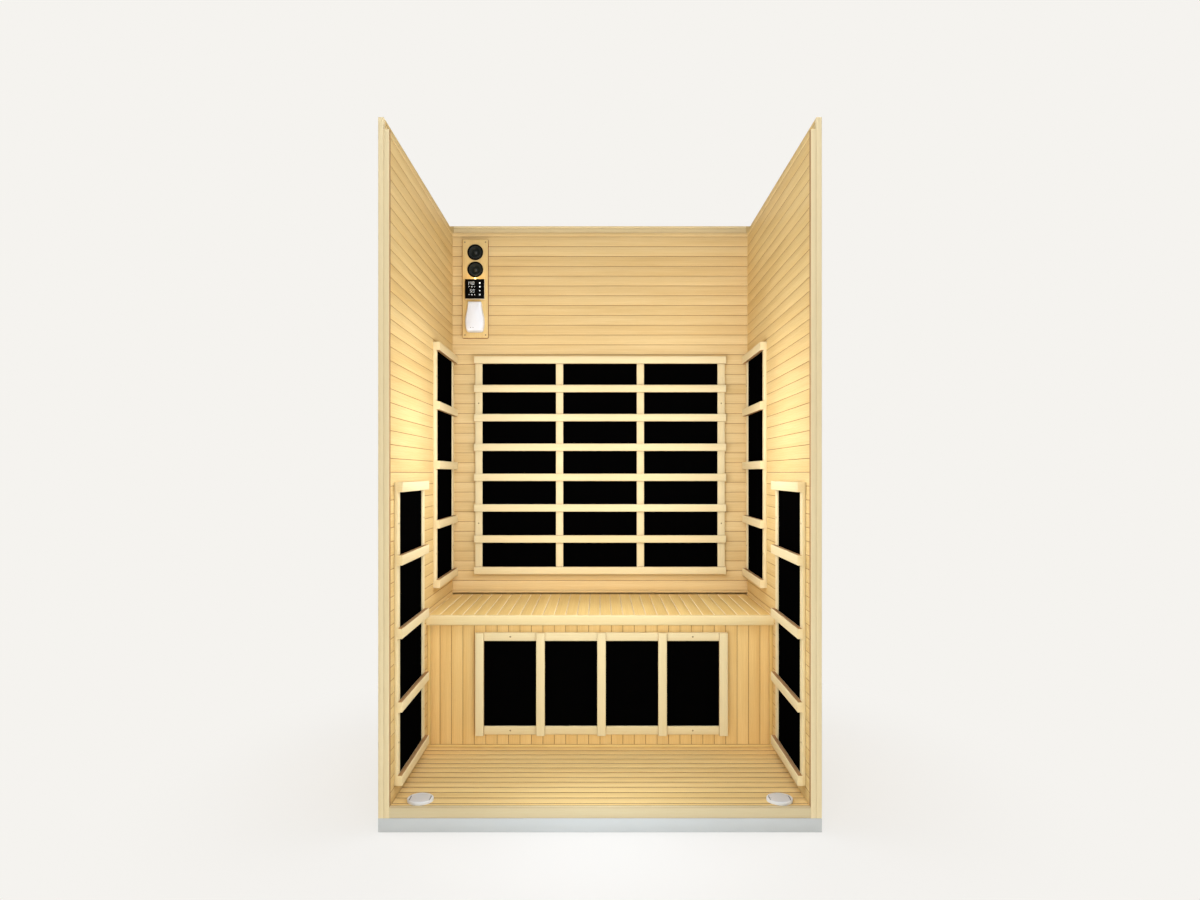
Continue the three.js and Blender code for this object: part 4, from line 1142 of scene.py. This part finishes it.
# The slits are lined with a dark cup: painted shade where the gap beside the lens falls into shadow.
SLIT_OUTER = straight_sided(WELL_RADIUS - 0.05, WELL_HALF - 0.05)
SLIT_INNER = straight_sided(LENS_RADIUS + 0.1, LENS_HALF + 0.3)
SLIT_SHADE_CUP = [(0, 1.5), (SLIT_OUTER, 1.5), (SLIT_OUTER, 6.2), (SLIT_INNER, 6.2), (SLIT_INNER, 1.6), (0, 1.6)]
for side in SIDES:
    foot = box_middle(f"{side}_floor_light_body")
    foot.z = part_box(f"{side}_floor_light_body")[0][2]
    body = turned(LIGHT_BODY, foot, "+z", RING_WHITE, sides=96)
    finished(f"{side}_floor_light_ring", [body], [f"{side}_floor_light_body"])
    slit_shade = turned(SLIT_SHADE_CUP, foot, "+z", DARK_WINDOW_AND_SHADE, sides=96)
    finished(f"{side}_floor_light_well", [slit_shade], ())
    lens = turned(LENS_SECTION, foot, "+z", LENS_GREY, sides=96)
    finished(f"{side}_floor_light_button", [lens], [f"{side}_floor_light_lens"],
             f"{side}_floor_light_lens")
print("floor lights:", len(SIDES))

# %% [markdown]
# ## Toggle latches
#
# Outside, a toggle latch at each rear corner pulls the side wall against the back wall. Its base, lever and
# keeper are bent sheet steel, so copies of their solids get a thin ease on every edge. The bail is a closed
# loop of wire: a small Geometry Nodes tree rounds the corners of a rectangle and sweeps the wire along it.

# %% Latches
LOOP_INPUTS = {
    "Length": "NodeSocketFloat",
    "Height": "NodeSocketFloat",
    "Corner": "NodeSocketFloat",
    "Wire": "NodeSocketFloat",
    "Finish": "NodeSocketMaterial",
}


def make_loop_tree():
    tree, maker, asked = new_tree("wire_loop", LOOP_INPUTS)
    path = maker.node("GeometryNodeCurvePrimitiveQuadrilateral", {"mode": "RECTANGLE"},
                      {"Width": asked["Length"], "Height": asked["Height"]})
    path = maker.node("GeometryNodeFilletCurve", {"mode": "POLY"},
                      {"Curve": path, "Radius": asked["Corner"], "Count": 6, "Limit Radius": True})
    section = maker.node("GeometryNodeCurvePrimitiveCircle", {"mode": "RADIUS"},
                         {"Resolution": 16, "Radius": asked["Wire"] * 0.5})
    wire = maker.node("GeometryNodeCurveToMesh", None, {"Curve": path, "Profile Curve": section})
    wire = maker.node("GeometryNodeRealizeInstances", None, {"Geometry": wire})
    wire = maker.node("GeometryNodeSetMaterial", None, {"Geometry": wire, "Material": asked["Finish"]})
    maker.node("NodeGroupOutput", None, {"Geometry": wire})
    return tree


LOOP_TREE = make_loop_tree()
LATCH_EASE = 0.35
BAIL_WIRE = 3.0 * MM
BAIL_CORNER = 2.2 * MM
for side in SIDES:
    for part in ("base", "lever", "keeper"):
        node = f"{side}_latch_{part}"
        body = node if part == "lever" else CABIN
        finished(node + "_pressed", [eased_copy(node, LATCH_EASE, LATCH_STEEL)], [node], body)
    node = f"{side}_latch_bail"
    low, high = map(Vector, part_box(node))
    size = high - low
    loop = grown(LOOP_TREE, {"Length": size.y - BAIL_WIRE, "Height": size.z - BAIL_WIRE, "Corner": BAIL_CORNER,
                             "Wire": BAIL_WIRE, "Finish": LATCH_STEEL})
    loop.transform(Matrix.Translation((low + high) / 2) @ Matrix(((0, 0, 1), (1, 0, 0), (0, 1, 0))).to_4x4())
    finished(node + "_wire", [shaded(loop)], [node], node)
print("latches:", len(SIDES))

# %% [markdown]
# ## Screws
#
# Small screws hold the guards, the control board and the latches: bronzed ones on the guards and the board,
# plated steel ones on the latches. They are one head, copied: each place is a vertex of a mesh that also
# stores which way the head looks, and a Geometry Nodes tree sets a head on every vertex, turned to that side
# and with its cross slot at a random angle, as a hand would leave it.

# %% The screw head and its tree
SCREW_INPUTS = {
    "Geometry": "NodeSocketGeometry",
    "Head": "NodeSocketObject",
    "Size": "NodeSocketFloat",
    "Seed": "NodeSocketInt",
    "Finish": "NodeSocketMaterial",
}


def cross_slot(size):
    """A four-armed outline as a radius that follows the angle."""
    return lambda angle: size * (0.34 + 0.66 * abs(math.cos(2 * angle)) ** 6)


HEAD_SECTION = [(0, -0.1), (1.0, -0.1), (1.0, 0.06), (0.92, 0.14), (0.72, 0.2), (cross_slot(0.56), 0.23),
                (cross_slot(0.5), 0.02), (0, -0.04)]
head_mesh = turned([(radius, height) for radius, height in HEAD_SECTION], (0, 0, 0), "+z", SCREW_BRONZE, sides=32)
head = bpy.data.objects.new("screw_head", head_mesh)


def make_screw_tree():
    tree, maker, asked = new_tree("screws", SCREW_INPUTS)
    outward = maker.node("GeometryNodeInputNamedAttribute", {"data_type": "FLOAT_VECTOR"}, {"Name": "outward"})
    facing = maker.node("FunctionNodeAlignRotationToVector", {"axis": "Z"}, {"Vector": outward})
    angle = random(maker, "FLOAT", 0.0, math.tau, asked["Seed"])
    twist = maker.node("FunctionNodeEulerToRotation", None, {0: maker.combine(0.0, 0.0, angle)})
    facing = maker.node("FunctionNodeRotateRotation", {"rotation_space": "LOCAL"}, {0: facing, 1: twist})
    shape = maker.node("GeometryNodeObjectInfo", None, {"Object": asked["Head"]}, out="Geometry")
    points = maker.node("GeometryNodeMeshToPoints", None, {"Mesh": asked["Geometry"]})
    size = asked["Size"] / MM
    heads = maker.node("GeometryNodeInstanceOnPoints", None, {
        "Points": points, "Instance": shape, "Rotation": facing, "Scale": maker.combine(size, size, size),
    })
    heads = maker.node("GeometryNodeRealizeInstances", None, {"Geometry": heads})
    heads = maker.node("GeometryNodeSetMaterial", None, {"Geometry": heads, "Material": asked["Finish"]})
    maker.node("NodeGroupOutput", None, {"Geometry": heads})
    return tree


SCREW_TREE = make_screw_tree()


def screws(name, places, radius, finish, seed=1):
    """Screw heads of one radius at places, each a point and the signed face that it looks along."""
    start = bpy.data.meshes.new(name)
    start.from_pydata([place for place, face in places], [], [])
    outward = [value for place, face in places for value in direction(face)]
    start.attributes.new("outward", "FLOAT_VECTOR", "POINT").data.foreach_set("vector", outward)
    heads = grown(SCREW_TREE, {"Head": head, "Size": radius * MM, "Seed": seed, "Finish": finish}, start)
    return finished(name, [heads], ())


print("screw head:", len(head_mesh.polygons), "faces")

# %% Placing the screws
def cell_middle(low, high, axis, bars, cell, growth=0.0):
    """The middle of one cell between bars that are spread over a guard, counted from the low end."""
    gaps = bars - 1
    reach = (high - low)[axis]
    pitch = (reach - GUARD_BAR - growth * gaps * (gaps - 1) / 2) / gaps
    return low[axis] + GUARD_BAR / 2 + pitch * (cell + 0.5) + growth * cell * cell / 2


places = []
low, high = map(Vector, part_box("back_heater_guard"))
for x in (low.x + GUARD_OVERHANG + GUARD_BAR / 2, high.x - GUARD_OVERHANG - GUARD_BAR / 2):
    for cell in (1, BACK_GUARD_RAILS - 3):
        z = cell_middle(low, high, 2, BACK_GUARD_RAILS, cell, BACK_GUARD_GROWTH)
        places.append(((x, high.y - GUARD_UNDER, z), "-y"))
low, high = map(Vector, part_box("calf_heater_guard"))
for z in (low.z + GUARD_BAR / 2, high.z - GUARD_BAR / 2):
    for cell in (0, CALF_GUARD_STILES - 2):
        places.append(((cell_middle(low, high, 0, CALF_GUARD_STILES, cell), high.y - GUARD_UNDER, z), "-y"))
for side in SIDES:
    for place in ("front", "rear"):
        low, high = map(Vector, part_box(f"{side}_{place}_heater_guard"))
        x, face = (low.x + GUARD_UNDER, "+x") if side == "left" else (high.x - GUARD_UNDER, "-x")
        for y in (low.y + GUARD_OVERHANG + GUARD_BAR / 2, high.y - GUARD_OVERHANG - GUARD_BAR / 2):
            for cell in (0, SIDE_GUARD_RAILS - 2):
                places.append(((x, y, cell_middle(low, high, 2, SIDE_GUARD_RAILS, cell)), face))
screws("guard_screws", places, 2.8, SCREW_BRONZE, seed=5)

BOARD_SCREW_INSET = 10 * MM
low, high = map(Vector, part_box("control_board"))
corners = [((x, low.y, z), "-y") for x in (low.x + BOARD_SCREW_INSET, high.x - BOARD_SCREW_INSET)
           for z in (low.z + BOARD_SCREW_INSET * 1.2, high.z - BOARD_SCREW_INSET * 1.2)]
screws("control_board_screws", corners, 3.0, SCREW_BRONZE, seed=7)

LATCH_SCREW_UP = 11 * MM
LATCH_PLATE = 2 * MM
latch_places = []
for side in SIDES:
    face = "-x" if side == "left" else "+x"
    for part, inset_y in (("base", 8 * MM), ("keeper", 20 * MM)):
        low, high = map(Vector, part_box(f"{side}_latch_{part}"))
        x = high.x - LATCH_PLATE if side == "left" else low.x + LATCH_PLATE
        for up in (-LATCH_SCREW_UP, LATCH_SCREW_UP):
            latch_places.append(((x, low.y + inset_y, (low.z + high.z) / 2 + up), face))
screws("latch_screws", latch_places, 2.6, LATCH_STEEL, seed=9)
bpy.data.objects.remove(head)
print("screws:", len(places) + len(corners) + len(latch_places))

# %% [markdown]
# ## Floor, backdrop and light
#
# The cabin stands on a pale floor in front of a pale backdrop. The floor shows the backdrop's colour to the
# camera, and close to the cabin it also keeps the soft shadow. A large soft lamp in front at half height
# gives the bright middle of the walls, and the wood itself throws warm light into the corners.

# %% Stage
BACKDROP = (0.913, 0.896, 0.863)
FLOOR_SIZE = 40.0
SHADOW_REACH = 0.9


def backdrop_rays(maker):
    """1 for rays that show the backdrop itself: from the camera, a mirror or glass."""
    rays = [maker.node("ShaderNodeLightPath", out=f"Is {kind} Ray") for kind in ("Camera", "Glossy", "Transmission")]
    return maker.sum("MINIMUM", rays[0] + rays[1] + rays[2], 1.0)


def floor_finish():
    material = bpy.data.materials.new("stage_floor")
    material.use_nodes = True
    material.node_tree.nodes.clear()
    maker = NodeMaker(material.node_tree)
    place = maker.node("ShaderNodeTexCoord", out="Object")
    away = maker.node("ShaderNodeVectorMath", {"operation": "LENGTH"}, {0: place}, out="Value")
    far = maker.node("ShaderNodeMapRange", {"interpolation_type": "SMOOTHSTEP"},
                     {"Value": away, "From Min": 0.6, "From Max": 0.6 + SHADOW_REACH, "To Min": 0.75, "To Max": 1.0})
    matt = maker.node("ShaderNodeBsdfDiffuse", None, {"Color": opaque(BACKDROP)})
    plain = maker.node("ShaderNodeEmission", None, {"Color": opaque(BACKDROP), "Strength": 1.0})
    both = maker.node("ShaderNodeMixShader", None, {0: backdrop_rays(maker) * far, 1: matt, 2: plain})
    maker.node("ShaderNodeOutputMaterial", None, {"Surface": both})
    return material


floor_mesh = bpy.data.meshes.new("stage_floor")
half = FLOOR_SIZE / 2
floor_mesh.from_pydata([(-half, -half, 0), (half, -half, 0), (half, half, 0), (-half, half, 0)], [], [(0, 1, 2, 3)])
floor_mesh.materials.append(floor_finish())
stage_floor = bpy.data.objects.new("stage_floor", floor_mesh)
bpy.context.scene.collection.objects.link(stage_floor)
print("stage:", FLOOR_SIZE, "m of floor")

# %% Light
AMBIENT = (1.0, 0.985, 0.96)
AMBIENT_STRENGTH = 0.11

world = bpy.data.worlds.new("studio")
bpy.context.scene.world = world
world.use_nodes = True
world.node_tree.nodes.clear()
maker = NodeMaker(world.node_tree)
shown = maker.node("ShaderNodeBackground", None, {"Color": opaque(BACKDROP), "Strength": 1.0})
lit = maker.node("ShaderNodeBackground", None, {"Color": opaque(AMBIENT), "Strength": AMBIENT_STRENGTH})
sky = maker.node("ShaderNodeMixShader", None, {0: backdrop_rays(maker), 1: lit, 2: shown})
maker.node("ShaderNodeOutputWorld", None, {"Surface": sky})


def soft_lamp(name, place, target, size, power, colour=(1.0, 1.0, 1.0)):
    """A square area lamp that looks at a point."""
    data = bpy.data.lights.new(name, "AREA")
    data.shape = "RECTANGLE"
    data.size, data.size_y = size
    data.energy = power
    data.color = colour
    lamp = bpy.data.objects.new(name, data)
    lamp.location = place
    lamp.rotation_euler = (Vector(target) - Vector(place)).to_track_quat("-Z", "Y").to_euler()
    lamp.visible_camera = False
    bpy.context.scene.collection.objects.link(lamp)
    return lamp


def soft_ball(name, place, radius, power, colour=(1.0, 1.0, 1.0), mirrored=False):
    """A soft round lamp that shines all ways."""
    data = bpy.data.lights.new(name, "POINT")
    data.shadow_soft_size = radius
    data.energy = power
    data.color = colour
    lamp = bpy.data.objects.new(name, data)
    lamp.location = place
    lamp.visible_camera = False
    lamp.visible_glossy = mirrored
    bpy.context.scene.collection.objects.link(lamp)
    return lamp


COOL = (0.83, 0.865, 1.0)
COOLER = (0.72, 0.84, 1.0)
COOLEST = (0.6, 0.78, 1.0)
soft_lamp("front_lamp", (0, -3.2, 1.3), (0, 0, 1.0), (2.4, 2.0), 53)
for side in (-1, 1):
    soft_ball("wall_lamp", (0.22 * side, -0.25, 1.1), 0.18, 5.6, COOL)
    soft_lamp("wall_glow", (-0.02 * side, -0.1, 1.06), (side, -0.1, 1.06), (0.4, 0.4), 1.4, COOL)
    soft_lamp("side_lamp", (3.4 * side, 0.4, 1.9), (0.6 * side, 0, 1.0), (2.0, 2.0), 55)
soft_ball("seat_lamp", (0, 0.05, 0.75), 0.15, 1.3, COOL)
soft_ball("mouth_lamp", (0, -0.58, 0.4), 0.22, 4.9, COOLER)
soft_ball("crown_lamp", (0, -0.62, 1.75), 0.2, 1.6, COOLEST)
soft_lamp("high_lamp", (0, -1.2, 2.5), (0, 0.0, 1.4), (1.0, 0.5), 6.5, COOL)
soft_lamp("rear_lamp", (0, 4.2, 1.9), (0, 0.5, 1.0), (2.4, 2.0), 75)
soft_ball("reading_lamp_light", lamp_place + Vector((0, -0.03, 0.004)), 0.004, 0.035, (1.0, 0.72, 0.36), True)
print("light set")
